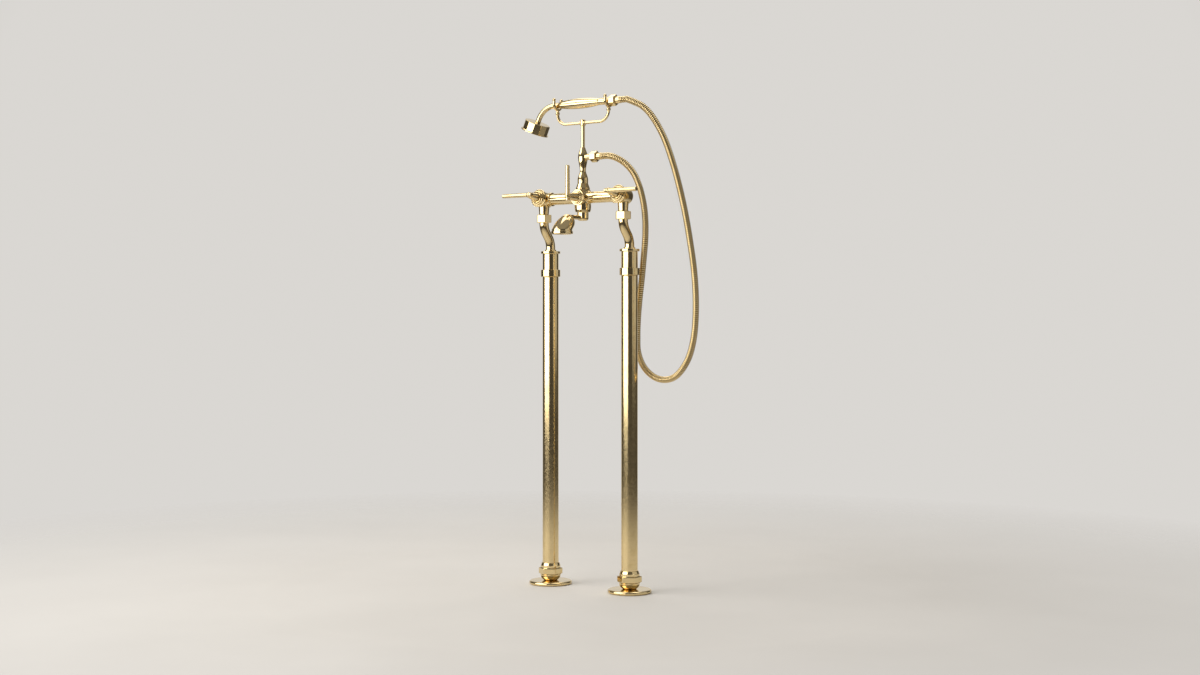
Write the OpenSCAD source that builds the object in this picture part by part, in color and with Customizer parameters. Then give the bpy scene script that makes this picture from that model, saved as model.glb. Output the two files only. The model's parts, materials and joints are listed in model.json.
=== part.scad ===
// Floor standing bath shower mixer: standpipes, a lever mixer with a bell spout, a hand shower and a hose.
// The origin is on the floor midway between the standpipes. +X is the cold side, -Y the front, +Z up.

/* [Standpipes] */
// Distance between the two standpipe axes
leg_pitch = 180; // [170:1:200]
// Height of the top of the leg covers above the floor
leg_h = 621; // [560:1:680]
// Outer diameter of the leg cover tube
shroud_d = 30; // [28:0.5:32]
// Wall of the leg cover tube
shroud_wall = 2; // [1.2:0.1:2.4]
// Outer diameter of the supply pipe inside each leg
pipe_d = 20; // [19:0.25:21]
// Bore of the supply pipe
pipe_bore_d = 14; // [13.5:0.1:14.5]
// Bore of the inlet socket, which takes a 15 mm tube from the floor
inlet_d = 15.2; // [15.1:0.05:15.4]
// Depth of the inlet socket
inlet_l = 25; // [15:1:40]
// How far the collar and the top flange stand out from the cover tube
rim_step = 3.25; // [2:0.25:5]
// Height of the sliding collar
collar_h = 13; // [8:0.5:18]
// Distance from the top of the leg down to the top of the collar
collar_drop = 34.5; // [25:0.5:45]
// Thickness of the flange that closes the leg
top_flange_t = 4.5; // [4:0.25:8]
// Length of the sleeve's spigot inside the cover tube
spigot_l = 30; // [15:1:60]

/* [Floor fixing] */
// Diameter of the floor flange
flange_d = 80; // [78:1:100]
// Height of the floor flange
flange_h = 7; // [6.5:0.25:10]
// Wall of the floor flange over the hidden plate
flange_wall = 2; // [1.5:0.1:2.4]
// Thickness of the hidden floor plate
plate_t = 4; // [3:0.25:4.25]
// Diameter of the screw holes in the floor plate
screw_hole_d = 5.5; // [4.5:0.25:6.5]
// Diameter of the circle of screw holes
screw_pcd = 48; // [44:1:52]
// Number of screw holes in each floor plate
screw_count = 3; // [3:1:4]
// Width of the base nut across its flats
nut_af = 39; // [37:0.5:42]
// Diameter of the foot of the base nut
nut_foot_d = 24; // [23:0.5:28]
// Height of the bowl under the base nut's hexagon
nut_bowl_h = 11.5; // [9:0.5:13]
// Height of the base nut's hexagon
nut_hex_h = 12.5; // [10:0.5:16]
// Height of the round ring over the base nut's hexagon
nut_ring_h = 4; // [3:0.25:6]
// Height of the cone on top of the base nut
nut_cone_h = 5; // [3:0.5:6]
// Depth of the cover tube inside the base nut
shroud_entry = 20; // [14:0.5:20]
// Height of the rubber seal under the cover tube
seal_h = 5; // [3:0.5:6]

/* [Swan necks and unions] */
// Distance of the mixer body in front of the standpipes
body_forward = 20; // [16:0.5:28]
// Outer diameter of the swan neck tube
neck_d = 17.5; // [16.5:0.25:18.5]
// Bore of the swan neck tube
neck_bore_d = 11; // [9:0.5:12]
// Radius of the two swan neck bends
neck_bend_r = 30; // [24:1:32]
// Angle of the two swan neck bends
neck_bend_a = 40; // [36:1:46]
// Straight foot of the swan neck above the leg
neck_foot = 6.4; // [3.4:0.5:10.4]
// Length of the swan neck's tail inside the supply pipe
neck_tail_l = 25; // [15:1:40]
// Width of the union nut across its flats
union_af = 26; // [24.5:0.25:28]
// Height of the union nut
union_h = 15.5; // [14:0.5:20]
// Diameter of the union thread
union_thread_d = 21; // [20:0.1:21.5]
// Thickness of the union nut's lip
union_lip = 2; // [1.5:0.25:3]
// Thickness of the swan neck's collar inside the union nut
neck_collar_t = 2.5; // [2:0.25:3]
// Thickness of the union washer
washer_t = 1.5; // [1:0.25:2]

/* [Mixer body] */
// Height of the bar axis above the union nuts
tail_h = 27.5; // [24:0.5:36]
// Diameter of the mixer's tails above the union nuts
tail_d = 18; // [16:0.5:20]
// Diameter of the bar
bar_d = 21.5; // [20:0.5:24]
// Bore of the bar
bar_bore_d = 13; // [10:0.5:15]
// Diameter of each valve housing
housing_d = 29; // [28:0.5:29.5]
// Length of a valve housing in front of the bar axis
housing_front = 17.25; // [16:0.25:20]
// Length of a valve housing behind the bar axis
housing_back = 15; // [14:0.5:20]
// Width of the ring where the bar meets a valve housing
bar_ring_w = 4; // [2:0.5:8]
// Diameter of the centre body
vase_d = 30.5; // [30:0.5:32]
// Distance from the bar axis down to the step above the foot of the centre body
vase_step = 26.5; // [24:0.5:28]
// Diameter of the centre body at that step
vase_step_d = 26.8; // [25:0.2:29]
// Diameter of the foot of the centre body
vase_foot_d = 21; // [20:0.5:22]
// Distance from the bar axis down to the foot of the centre body
vase_drop = 42.2; // [42:0.2:46]
// Distance from the bar axis up to the top of the centre body
boss_h = 15.5; // [15.5:0.5:18]

/* [Valves] */
// Angle by which the hot and cold valves look up
valve_tilt = 8; // [0:0.5:12]
// Diameter of the cartridges
cartridge_d = 20; // [19.5:0.25:20.5]
// Diameter of the nose of a cartridge
nose_d = 14; // [13:0.25:15]
// Diameter of the ceramic discs
disc_d = 16.4; // [15.5:0.1:16.6]
// Thickness of a ceramic disc
disc_t = 3; // [2:0.25:3.5]
// Thickness of the rubber seal behind the discs
valve_seal_t = 2; // [1.5:0.25:2.5]
// Diameter of the spindles
spindle_d = 8; // [7:0.25:9]
// Diameter of the hot and cold bonnets
bonnet_d = 33.2; // [31:0.2:36]
// Diameter of the diverter's bonnet
diverter_bonnet_d = 29.5; // [28.5:0.25:30]
// Thickness of a bonnet's rim
bonnet_rim_t = 3.5; // [3:0.25:4.5]
// Height of each step on the hot and cold bonnets
bonnet_step = 4; // [3:0.25:5]
// Height of each step on the diverter's bonnet
diverter_step = 2.75; // [2:0.25:3.5]

/* [Levers] */
// Length of the hot and cold levers from the valve axis to the tip
lever_l = 61; // [50:0.5:70]
// Length of the diverter's lever from the valve axis to the tip
diverter_lever_l = 56.5; // [48:0.5:62]
// Diameter of a lever rod at the hub
lever_d = 8.6; // [7.8:0.2:9.4]
// Diameter of a lever rod at its tip
lever_tip_d = 7.5; // [6.5:0.1:8.5]
// Distance of the lever rods in front of the bar axis
rod_front = 46.5; // [44:0.5:50]
// Diameter of a lever hub at the bonnet
hub_d = 16.5; // [15.5:0.25:18]
// Diameter of a lever hub at the rod
hub_tip_d = 10; // [9.6:0.2:11]
// Diameter of the grub screw in a lever hub
grub_d = 5; // [4:0.5:6]

/* [Spout] */
// Distance from the bar axis down to the spout tube
spout_drop = 36.8; // [35:0.2:37]
// Diameter of the spout tube
spout_tube_d = 8.3; // [8:0.1:8.5]
// Distance of the spout's bell in front of the bar axis
spout_reach = 63; // [57:0.5:75]
// Diameter of the bell above its lip
bell_d = 37.5; // [35:0.5:42]
// Height of the bell
bell_h = 37; // [34:0.5:42]
// Distance by which the top of the bell leans back
bell_lean = 12; // [9:0.5:13]
// Wall of the bell
bell_wall = 2.2; // [1.5:0.1:3]
// Height of the bell's lip
lip_h = 5; // [3:0.25:7]
// How far the lip stands out from the bell
lip_step = 1.3; // [0.5:0.1:2]
// Depth of the flow straightener inside the bell's mouth
mouth_depth = 4.5; // [4:0.25:6]
// Thickness of the flow straightener
straightener_t = 4; // [3:0.25:5]

/* [Riser and cradle] */
// Height of the skirt at the foot of the riser
skirt_h = 10.5; // [10:0.5:16]
// Height of the riser from its skirt to its bulb
riser_h = 48; // [42:0.5:60]
// Diameter of the riser above its skirt
riser_d = 19.7; // [18:0.1:22]
// Diameter of the riser's waist
waist_d = 11.2; // [10.8:0.2:14]
// Diameter of the riser's bulb
bulb_d = 18; // [17:0.25:22]
// Height of the cone above the bulb
cone_h = 18; // [14:0.5:24]
// Diameter of the cradle rod
rod_d = 7.5; // [7:0.1:9]
// Height of the cradle crossbar above the riser
rod_l = 45; // [35:0.5:60]
// Diameter of the cradle's round bars
wire_d = 5.5; // [5:0.1:6]
// Distance of each fork from the middle of the cradle
fork_x = 58; // [56:0.5:60]
// Radius of the cradle's corners
corner_r = 20; // [14:0.5:22]
// Height of the handset axis above the crossbar
handset_rise = 36; // [34:0.5:42]
// Half the width of a fork between the middles of its prongs
fork_r = 11; // [10.6:0.1:12.5]

/* [Handset] */
// Largest diameter of the grip
grip_d = 19.5; // [18:0.25:24]
// Diameter of the grip at its ends
grip_end_d = 12; // [11.5:0.1:13]
// Left end of the grip from the middle of the cradle
grip_x0 = 52.5; // [46:0.5:53]
// Right end of the grip from the middle of the cradle
grip_x1 = 38; // [34:0.5:42]
// Diameter of the neck tube
handset_neck_d = 10; // [9:0.1:10.5]
// Diameter of the tube inside the grip
handset_core_d = 8.5; // [7.6:0.1:8.6]
// Bore of the handset's tube
handset_bore_d = 6; // [5:0.1:6.4]
// Diameter of the tail behind the grip
handset_tail_d = 12.7; // [12:0.1:13.5]
// Place where the neck starts to bend, from the middle of the cradle
neck_x = 66; // [62:0.5:70]
// Radius of the neck's bend
handset_bend_r = 40; // [34:0.5:48]
// Tilt of the shower head from facing straight down
head_tilt = 24; // [15:1:35]
// Distance from the bend to the shower head
head_drop = 5; // [4:0.5:12]
// Distance across the corners of the shower head
head_d = 49; // [46:0.5:54]
// Number of facets round the shower head
head_sides = 12; // [8:1:12]
// Height of the shower head
head_h = 19.5; // [16:0.5:24]
// Wall of the shower head
head_wall = 2.5; // [2:0.1:3]
// Diameter of the thin lip under the shower head
head_lip_d = 53; // [52:0.5:58]
// Thickness of the thin lip under the shower head
head_lip_t = 2; // [1.5:0.1:3]
// Diameter of the holes in the spray plate
jet_d = 1.8; // [1:0.1:2]

/* [Hose] */
// Outer diameter of the hose over its ribs
hose_d = 12; // [11.5:0.1:12.6]
// Bore of the hose
hose_bore_d = 7; // [5:0.1:8]
// Depth of the grooves between the ribs
rib_h = 0.9; // [0.5:0.1:1.2]
// Number of ribs along the hose
rib_count = 160; // [80:1:200]
// Width of the hose nuts across their flats
hose_nut_af = 18.5; // [18.2:0.1:22]
// Length of the hose nuts
hose_nut_l = 12.5; // [12:0.25:16]
// Diameter of the hose thread
hose_thread_d = 16; // [15.5:0.1:16.2]
// Diameter of the smooth ferrules at the ends of the hose
ferrule_d = 12.8; // [12.6:0.1:15]
// Length of the smooth ferrules at the ends of the hose
ferrule_l = 9; // [8:0.5:9]

/* [Clearances] */
// Clearance on the radius between pieces that are seated in each other
seat_gap = 0.1; // [0.05:0.01:0.15]
// Clearance on the radius of a spindle that turns in its cartridge
run_gap = 0.05; // [0.03:0.01:0.08]
// Clearance between pieces that move past each other
move_gap = 0.3; // [0.25:0.05:0.5]
// Clearance between a lever hub and its bonnet
hub_gap = 0.6; // [0.4:0.1:0.9]

/* [Hidden] */
$fn = 96;
// Overshoot of cutting shapes
cut = 1;
// Lap and step of a straight run over the bend that it joins
joint_lap = 0.4;
joint_step = 0.05;
brass = [0.86, 0.66, 0.30];
ceramic = [0.93, 0.93, 0.90];
rubber = [0.12, 0.12, 0.12];
plastic = [0.86, 0.86, 0.84];

HOT = -1;
COLD = 1;

// Levels of one standpipe
leg_x = leg_pitch / 2;
rim_d = shroud_d + 2 * rim_step;
flange_round = flange_h / 2;
plate_d = flange_d - 2 * flange_h;
plate_room_d = plate_d + 2;
nut_hex_z = flange_h + nut_bowl_h;
nut_ring_z = nut_hex_z + nut_hex_h;
nut_cone_z = nut_ring_z + nut_ring_h;
nut_top = nut_cone_z + nut_cone_h;
nut_shoulder_d = nut_af - 1;
nut_ring_d = nut_af - 2;
nut_cone_d = nut_ring_d - 1;
nut_rim_d = shroud_d + 3;
nut_bowl_in = (nut_shoulder_d - nut_foot_d) / 2;
nut_bowl_r = (nut_bowl_h * nut_bowl_h + nut_bowl_in * nut_bowl_in) / (2 * nut_bowl_in);
shroud_z = nut_top - shroud_entry;
seal_z = shroud_z - seal_h;
collar_z = leg_h - collar_drop - collar_h;
joint_z = collar_z + collar_h / 2;
cap_t = 3;
pipe_top = leg_h - cap_t;
seat_edge = 0.8;

// Levels of the swan neck and its union
neck_tail_z = pipe_top - neck_tail_l;
foot_ring_t = 3;
foot_ring_step = 2;
bend_side = 2 * neck_bend_r * (1 - cos(neck_bend_a));
bend_run = (body_forward - bend_side) / sin(neck_bend_a);
bend_h = 2 * neck_bend_r * sin(neck_bend_a) + bend_run * cos(neck_bend_a);
bend_z = leg_h + neck_foot;
union_z = bend_z + bend_h;
union_top = union_z + union_h;
union_washer_z = union_z + union_lip + neck_collar_t;
tail_z = union_washer_z + washer_t;
bar_z = union_top + tail_h;
union_turn = 15;
tail_top_d = tail_d + 3;
bar_ring_d = bar_d + 4;

// Depths in front of the bar axis
cavity_back = 9;
cavity_d = cartridge_d + 2 * seat_gap;
fixed_disc_y = valve_seal_t - cavity_back;
moving_disc_y = fixed_disc_y + disc_t + run_gap;
spindle_y = moving_disc_y + disc_t;
spindle_flange_t = 3;
disc_room_d = disc_d + 2 * move_gap;
disc_room_end = spindle_y + spindle_flange_t + move_gap;
spigot_step = 3;
spigot_d = housing_d - 2 * spigot_step;
bonnet_skirt = 3;
bonnet_y = housing_front - bonnet_skirt;
bonnet_mid = 0.8;
bonnet_top = 0.69;
hub_past_rod = 1.5;
hub_front = rod_front + hub_past_rod;
spindle_in = 9;
rod_edge = 1.2;
rod_back = lever_d * 0.9;
grub_in = 4;

// Sizes of the valve at x, where the diverter's is a smaller one
function tilt(x) = x == 0 ? 0 : valve_tilt;
function bonnet_width(x) = x == 0 ? diverter_bonnet_d : bonnet_d;
function step_h(x) = x == 0 ? diverter_step : bonnet_step;
function bonnet_front(x) = bonnet_y + bonnet_rim_t + 2 * step_h(x);
function hub_y(x) = bonnet_front(x) + hub_gap;
function spindle_end(x) = hub_y(x) + spindle_in;
function lever_tip(x) = x == 0 ? diverter_lever_l : lever_l;

// Levels of the centre body, spout, riser and cradle
vase_belly = 18;
vase_inset = (vase_d - vase_step_d) / 2;
vase_fall = vase_step - vase_belly;
vase_arc_r = (vase_fall * vase_fall + vase_inset * vase_inset) / (2 * vase_inset);
foot_round = 5;
boss_d = vase_d - 4.5;
spot_face_d = diverter_bonnet_d + 2 * move_gap;
riser_thread_d = 16;
riser_thread_l = 8;
riser_bore_d = 8;
cone_d = waist_d + 2;
riser_tip_d = rod_d + 1;
spout_z = bar_z - spout_drop;
spout_bore_d = 6;
spout_tail = 4;
bell_rise = 0.6;
bell_top = spout_z + spout_tube_d / 2 + bell_rise;
bell_z = bell_top - bell_h;
bell_skirt = mouth_depth + straightener_t;
bell_sides = 48;
straightener_z = bell_z + mouth_depth;
straightener_hole_d = 5;
straightener_pitch = 6.2;
riser_z = bar_z + boss_h;
bulb_z = riser_z + skirt_h + riser_h;
riser_top = bulb_z + cone_h;
outlet_d = 11;
outlet_l = 19.5;
check_valve_d = 9;
check_valve_l = 8;
stud_d = 4.8;
stud_l = 8;
cross_z = riser_top + rod_l;
cross_x = fork_x - corner_r;
handset_z = cross_z + handset_rise;
tee_d = rod_d + 2;
tee_h = 12;
cross_ring_d = wire_d + 2;
ball_d = wire_d + 1;
knob_d = wire_d + 2.5;
knob_up = 1;
prong_l = 6.5;

// Places along the handset
neck_turn = 90 - head_tilt;
grip_l = grip_x0 + grip_x1;
grip_bulge = (grip_d - grip_end_d) / 2;
grip_arc_r = (grip_l * grip_l / 4 + grip_bulge * grip_bulge) / (2 * grip_bulge);
tail_x1 = fork_x + ball_d / 2 + move_gap;
thread_l = 8;
head_socket_l = 5;
head_turn = 2;
head_room_d = head_d * cos(180 / head_sides) - 2 * head_wall;
spray_plate_t = 2.5;
spray_plate_z = head_drop + head_h - spray_plate_t;
jet_rings = [6, 12, 18];
jet_ring_step = 5.5;

// Hose ends: the free end of each ferrule
nut_lip = 2.5;
hose_collar_t = 1.5;
hose_washer_t = 1.5;
outlet_x = outlet_l + thread_l;
handset_thread_x = tail_x1 + thread_l;
riser_nut_x = outlet_x + hose_washer_t + hose_collar_t + nut_lip - hose_nut_l;
handset_nut_x = handset_thread_x + hose_washer_t + hose_collar_t + nut_lip - hose_nut_l;
riser_hose_x = riser_nut_x + hose_nut_l + ferrule_l;
handset_hose_x = handset_nut_x + hose_nut_l + ferrule_l;
stem_d = 10;

// Route of the hose: places between its two ends, measured from the cold leg's axis and the riser's outlet
hose_lead = 14;
lead_shares = [0, 0.45, 0.86, 1];
hose_loop = [
    [-17, -22, -4], [3, -20, -15], [20, -16, -34], [30, -11, -60], [34, -4, -91], [32, 4, -122],
    [26, 12, -153], [18, 19, -185], [10, 25, -220], [3, 28, -257], [-2, 30, -293], [-4, 31, -326],
    [-3, 32, -356], [9, 32, -382], [30, 31, -399], [54, 28, -405], [78, 25, -401], [99, 20, -387],
    [117, 16, -364], [130, 11, -333], [137, 7, -297], [140, 3, -255], [139, -1, -210], [134, -5, -163],
    [127, -9, -115], [117, -12, -68], [105, -16, -22], [91, -19, 18], [76, -21, 47], [60, -22, 69],
    [43, -22, 84], [24, -22, 93]
];
hose_start = [riser_hose_x, -body_forward, bulb_z];
hose_end = [handset_hose_x, -body_forward, handset_z];
route = concat(
    [for (k = lead_shares) hose_start + [k * hose_lead, 0, 0]],
    [for (p = hose_loop) p + [leg_x, 0, bulb_z]],
    [for (i = [len(lead_shares) - 1 : -1 : 0]) hose_end + [lead_shares[i] * hose_lead, 0, 0]]
);
route_steps = 8;
hose_sides = 8;
bore_rings = 60;

function unit(v) = v / norm(v);

// Point on the curve through b and c at share t, with a and d as its neighbours
function curve_point(a, b, c, d, t) =
    b + (c - a) * t / 2 + (2 * a - 5 * b + 4 * c - d) * t * t / 2 + (3 * b - a - 3 * c + d) * t * t * t / 2;

// All points of the smooth curve through a list of points
function smooth(p) = let (n = len(p)) concat(
    [for (i = [0 : n - 2], k = [0 : route_steps - 1]) curve_point(
        i > 0 ? p[i - 1] : 2 * p[0] - p[1], p[i], p[i + 1],
        i < n - 2 ? p[i + 2] : 2 * p[n - 1] - p[n - 2], k / route_steps)],
    [p[n - 1]]
);

// Distance along a list of points at each of them
function run_lengths(p) = [
    for (i = 0, s = 0; i < len(p); i = i + 1, s = s + (i < len(p) ? norm(p[i] - p[i - 1]) : 0)) s
];

hose_points = smooth(route);
hose_runs = run_lengths(hose_points);
hose_l = hose_runs[len(hose_runs) - 1];
hose_table = [
    for (k = [0 : 2]) [for (i = [0 : len(hose_points) - 1]) [hose_runs[i], hose_points[i][k]]]
];

function hose_at(s) = [for (k = [0 : 2]) lookup(s, hose_table[k])];
function hose_heading(s) = unit(hose_at(s + cut) - hose_at(s - cut));

// One ring of points round the hose at distance s and radius r
function hose_ring(s, r) =
    let (t = hose_heading(s), u = unit(cross([0, 1, 0], t)), v = cross(t, u))
    [for (j = [0 : hose_sides - 1])
        let (a = 360 * j / hose_sides) hose_at(s) + r * (cos(a) * u + sin(a) * v)];

// Triangles between rings that follow each other, facing out, or facing in when turned
function wall_faces(first, rings, turned) = [
    for (i = [0 : rings - 2], j = [0 : hose_sides - 1])
        let (a = first + i * hose_sides, b = a + hose_sides, j2 = (j + 1) % hose_sides)
        each turned ? [[a + j, b + j, a + j2], [a + j2, b + j, b + j2]]
            : [[a + j, a + j2, b + j], [a + j2, b + j2, b + j]]
];

// Triangles of the flat end between an outer and an inner ring
function end_faces(outer, inner, turned) = [
    for (j = [0 : hose_sides - 1])
        let (j2 = (j + 1) % hose_sides)
        each turned ? [[outer + j, outer + j2, inner + j], [outer + j2, inner + j2, inner + j]]
            : [[outer + j, inner + j, outer + j2], [outer + j2, inner + j, inner + j2]]
];

rib_pitch = (hose_l - 2 * hose_lead) / rib_count;
groove_r = hose_d / 2 - rib_h;
outer_stations = concat(
    [[0, groove_r]],
    [for (i = [0 : rib_count - 1], k = [0, 1])
        [hose_lead + (i + k / 2) * rib_pitch, k == 0 ? groove_r : hose_d / 2]],
    [[hose_l - hose_lead, groove_r], [hose_l, groove_r]]
);
bore_stations = [for (i = [0 : bore_rings]) [i * hose_l / bore_rings, hose_bore_d / 2]];

// Least gap of the hose to itself, between points more than four diameters apart along it
hose_gap = min([
    for (i = [0 : 2 : len(hose_points) - 1], j = [i + 1 : 2 : len(hose_points) - 1])
        if (hose_runs[j] - hose_runs[i] > 4 * hose_d) norm(hose_points[i] - hose_points[j]) - hose_d
]);
echo(hose_length_mm = hose_l, hose_least_gap_mm = hose_gap, rib_pitch_mm = rib_pitch);

// A straight bore that runs past both ends of what it cuts
module bore(d, z0, z1) translate([0, 0, z0 - cut]) cylinder(d = d, h = z1 - z0 + 2 * cut);

// A flat ring
module ring(d, hole, h) difference() {
    cylinder(d = d, h = h);
    bore(hole, 0, h);
}

// A turned disc with a rounded edge at each face
module round_disc(d, h, round) rotate_extrude() {
    square([d / 2 - round, h]);
    translate([0, round]) square([d / 2, h - 2 * round]);
    for (z = [round, h - round]) translate([d / 2 - round, z]) intersection() {
        circle(r = round);
        translate([0, -h]) square([round, 2 * h]);
    }
}

// A hexagonal prism by its width across flats
module hexagon(af, h) cylinder(d = af / cos(30), h = h, $fn = 6);

// A round bar bent through an arc in the XY plane, starting on +X
module bent_bar(r, d, angle) rotate_extrude(angle = angle) translate([r, 0]) circle(d = d);

// A straight bar that laps over the bends at its ends by a hair's breadth
module lapped_bar(d, h) translate([0, 0, -joint_lap])
    cylinder(d = d + 2 * joint_step, h = h + 2 * joint_lap);

// Places: a standpipe, its union, a valve axis to the front, the body's middle, the bell, upright planes
module at_leg(side) translate([side * leg_x, 0, 0]) children();
module at_union(side) translate([side * leg_x, -body_forward, 0]) children();
module at_valve(x) translate([x, -body_forward, bar_z]) rotate([90 - tilt(x), 0, 0]) children();
module at_centre(z) translate([0, -body_forward, z]) children();
module at_bell(z) translate([0, -body_forward - spout_reach, z]) children();
module along_x(z) translate([0, -body_forward, z]) rotate([0, 90, 0]) children();
module upright_x() translate([0, -body_forward, 0]) rotate([90, 0, 0]) children();
module upright_y(x) translate([x, 0, 0]) rotate([90, 0, 90]) children();

// Standpipes
module floor_plate(side) color(brass) at_leg(side) difference() {
    cylinder(d = plate_d, h = plate_t);
    bore(pipe_d + 2 * seat_gap, 0, plate_t);
    for (i = [0 : screw_count - 1]) rotate(360 * i / screw_count + 90)
        translate([screw_pcd / 2, 0, 0]) bore(screw_hole_d, 0, plate_t);
}

module floor_flange(side) color(brass) at_leg(side) difference() {
    rotate_extrude() {
        square([flange_d / 2 - flange_round, flange_h]);
        translate([flange_d / 2 - flange_round, flange_round]) circle(r = flange_round);
    }
    translate([0, 0, -cut]) cylinder(d = plate_room_d, h = flange_h - flange_wall + cut);
    bore(pipe_d + 2 * seat_gap, 0, flange_h);
}

module base_nut(side) color(brass) at_leg(side) difference() {
    union() {
        rotate_extrude() intersection() {
            translate([nut_shoulder_d / 2 - nut_bowl_r, nut_hex_z]) circle(r = nut_bowl_r);
            translate([0, flange_h]) square([nut_shoulder_d / 2, nut_bowl_h]);
        }
        translate([0, 0, nut_hex_z]) hexagon(nut_af, nut_hex_h);
        translate([0, 0, nut_ring_z]) cylinder(d = nut_ring_d, h = nut_ring_h);
        translate([0, 0, nut_cone_z]) cylinder(d1 = nut_cone_d, d2 = nut_rim_d, h = nut_cone_h);
    }
    bore(pipe_d + 2 * seat_gap, flange_h, nut_top);
    translate([0, 0, seal_z]) cylinder(d = shroud_d + 2 * seat_gap, h = nut_top - seal_z + cut);
}

module base_seals() color(rubber) for (side = [HOT, COLD]) at_leg(side) translate([0, 0, seal_z])
    ring(shroud_d, pipe_d + 2 * seat_gap, seal_h);

module leg_cover(side) color(brass) at_leg(side) translate([0, 0, shroud_z])
    ring(shroud_d, shroud_d - 2 * shroud_wall, joint_z - shroud_z);

module collar(side) color(brass) at_leg(side) translate([0, 0, collar_z]) difference() {
    round_disc(rim_d, collar_h, seat_edge);
    bore(shroud_d + 2 * seat_gap, 0, collar_h);
}

module top_sleeve(side) color(brass) at_leg(side) difference() {
    union() {
        translate([0, 0, joint_z - spigot_l])
            cylinder(d = shroud_d - 2 * shroud_wall - 2 * seat_gap, h = spigot_l);
        translate([0, 0, joint_z]) cylinder(d = shroud_d, h = leg_h - joint_z - top_flange_t / 2);
        translate([0, 0, leg_h - top_flange_t]) round_disc(rim_d, top_flange_t, seat_edge);
    }
    translate([0, 0, joint_z - spigot_l - cut])
        cylinder(d = pipe_d + 2 * seat_gap, h = pipe_top - joint_z + spigot_l + cut);
    bore(neck_d + 2 * seat_gap, pipe_top, leg_h);
}

module supply_pipe(side) color(brass) at_leg(side) difference() {
    ring(pipe_d, pipe_bore_d, pipe_top);
    translate([0, 0, -cut]) cylinder(d = inlet_d, h = inlet_l + cut);
}

// The swan neck's bent tube, which leans forward through two equal bends
module swan_tube(d) {
    upright_y(0) translate([-neck_bend_r, bend_z, 0]) bent_bar(neck_bend_r, d, neck_bend_a);
    translate([0, neck_bend_r * (cos(neck_bend_a) - 1), bend_z + neck_bend_r * sin(neck_bend_a)])
        rotate([neck_bend_a, 0, 0]) lapped_bar(d, bend_run);
    upright_y(0) translate([neck_bend_r - body_forward, union_z, 0])
        rotate(180) bent_bar(neck_bend_r, d, neck_bend_a);
}

module swan_neck(side) color(brass) difference() {
    at_leg(side) {
        translate([0, 0, neck_tail_z]) cylinder(d = pipe_bore_d - 2 * seat_gap, h = neck_tail_l);
        translate([0, 0, pipe_top]) cylinder(d = neck_d, h = bend_z - pipe_top);
        translate([0, 0, leg_h]) cylinder(d = neck_d + 2 * foot_ring_step, h = foot_ring_t);
        swan_tube(neck_d);
        translate([0, -body_forward, union_z]) {
            cylinder(d = neck_d, h = union_lip + neck_collar_t);
            translate([0, 0, union_lip]) cylinder(d = union_thread_d - 2 * seat_gap, h = neck_collar_t);
        }
    }
    at_leg(side) {
        translate([0, 0, neck_tail_z - cut]) cylinder(d = neck_bore_d, h = bend_z - neck_tail_z + cut);
        swan_tube(neck_bore_d);
        translate([0, -body_forward, union_z])
            cylinder(d = neck_bore_d, h = union_lip + neck_collar_t + cut);
    }
}

module union_nut(side) color(brass) at_union(side) difference() {
    intersection() {
        translate([0, 0, union_z]) rotate(union_turn) hexagon(union_af, union_h);
        translate([0, 0, union_z]) round_disc(union_af / cos(30), union_h, seat_edge);
    }
    bore(neck_d + 2 * seat_gap, union_z, union_top);
    translate([0, 0, union_z + union_lip]) cylinder(d = union_thread_d + 2 * seat_gap, h = union_h);
}

module union_washers() color(rubber) for (side = [HOT, COLD]) at_union(side)
    translate([0, 0, union_washer_z]) ring(union_thread_d, neck_bore_d, washer_t);

// Mixer body
module valve_housing(x) at_valve(x) rotate_extrude() {
    back_round = housing_d / 5;
    translate([0, back_round - housing_back]) {
        square([housing_d / 2, housing_back + bonnet_y - back_round]);
        translate([housing_d / 2 - back_round, 0]) circle(r = back_round);
    }
    translate([0, -housing_back]) square([housing_d / 2 - back_round, housing_back]);
    translate([0, bonnet_y - cut]) square([spigot_d / 2, housing_front - bonnet_y + cut]);
}

module vase() at_centre(bar_z) rotate_extrude() {
    translate([0, -vase_belly]) square([vase_d / 2, vase_belly + boss_h / 2]);
    polygon([[0, 0], [vase_d / 2, boss_h / 2], [boss_d / 2, boss_h], [0, boss_h]]);
    intersection() {
        translate([vase_d / 2 - vase_arc_r, -vase_belly]) circle(r = vase_arc_r, $fn = 4 * $fn);
        translate([0, -vase_step]) square([vase_d / 2, vase_fall]);
    }
    translate([0, -vase_drop]) square([vase_foot_d / 2 - foot_round, vase_drop]);
    translate([0, foot_round - vase_drop]) square([vase_foot_d / 2, vase_drop - foot_round]);
    translate([vase_foot_d / 2 - foot_round, foot_round - vase_drop]) circle(r = foot_round);
}

module mixer_tail(side) at_union(side) {
    translate([0, 0, tail_z]) cylinder(d = union_thread_d, h = union_top - tail_z);
    translate([0, 0, union_top]) cylinder(d1 = tail_d, d2 = tail_top_d, h = tail_h - housing_d / 4);
}

module bar_ring(side) along_x(bar_z)
    translate([0, 0, side * (leg_x - housing_d / 2 - bar_ring_w / 2) - bar_ring_w])
    round_disc(bar_ring_d, 2 * bar_ring_w, seat_edge);

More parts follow.
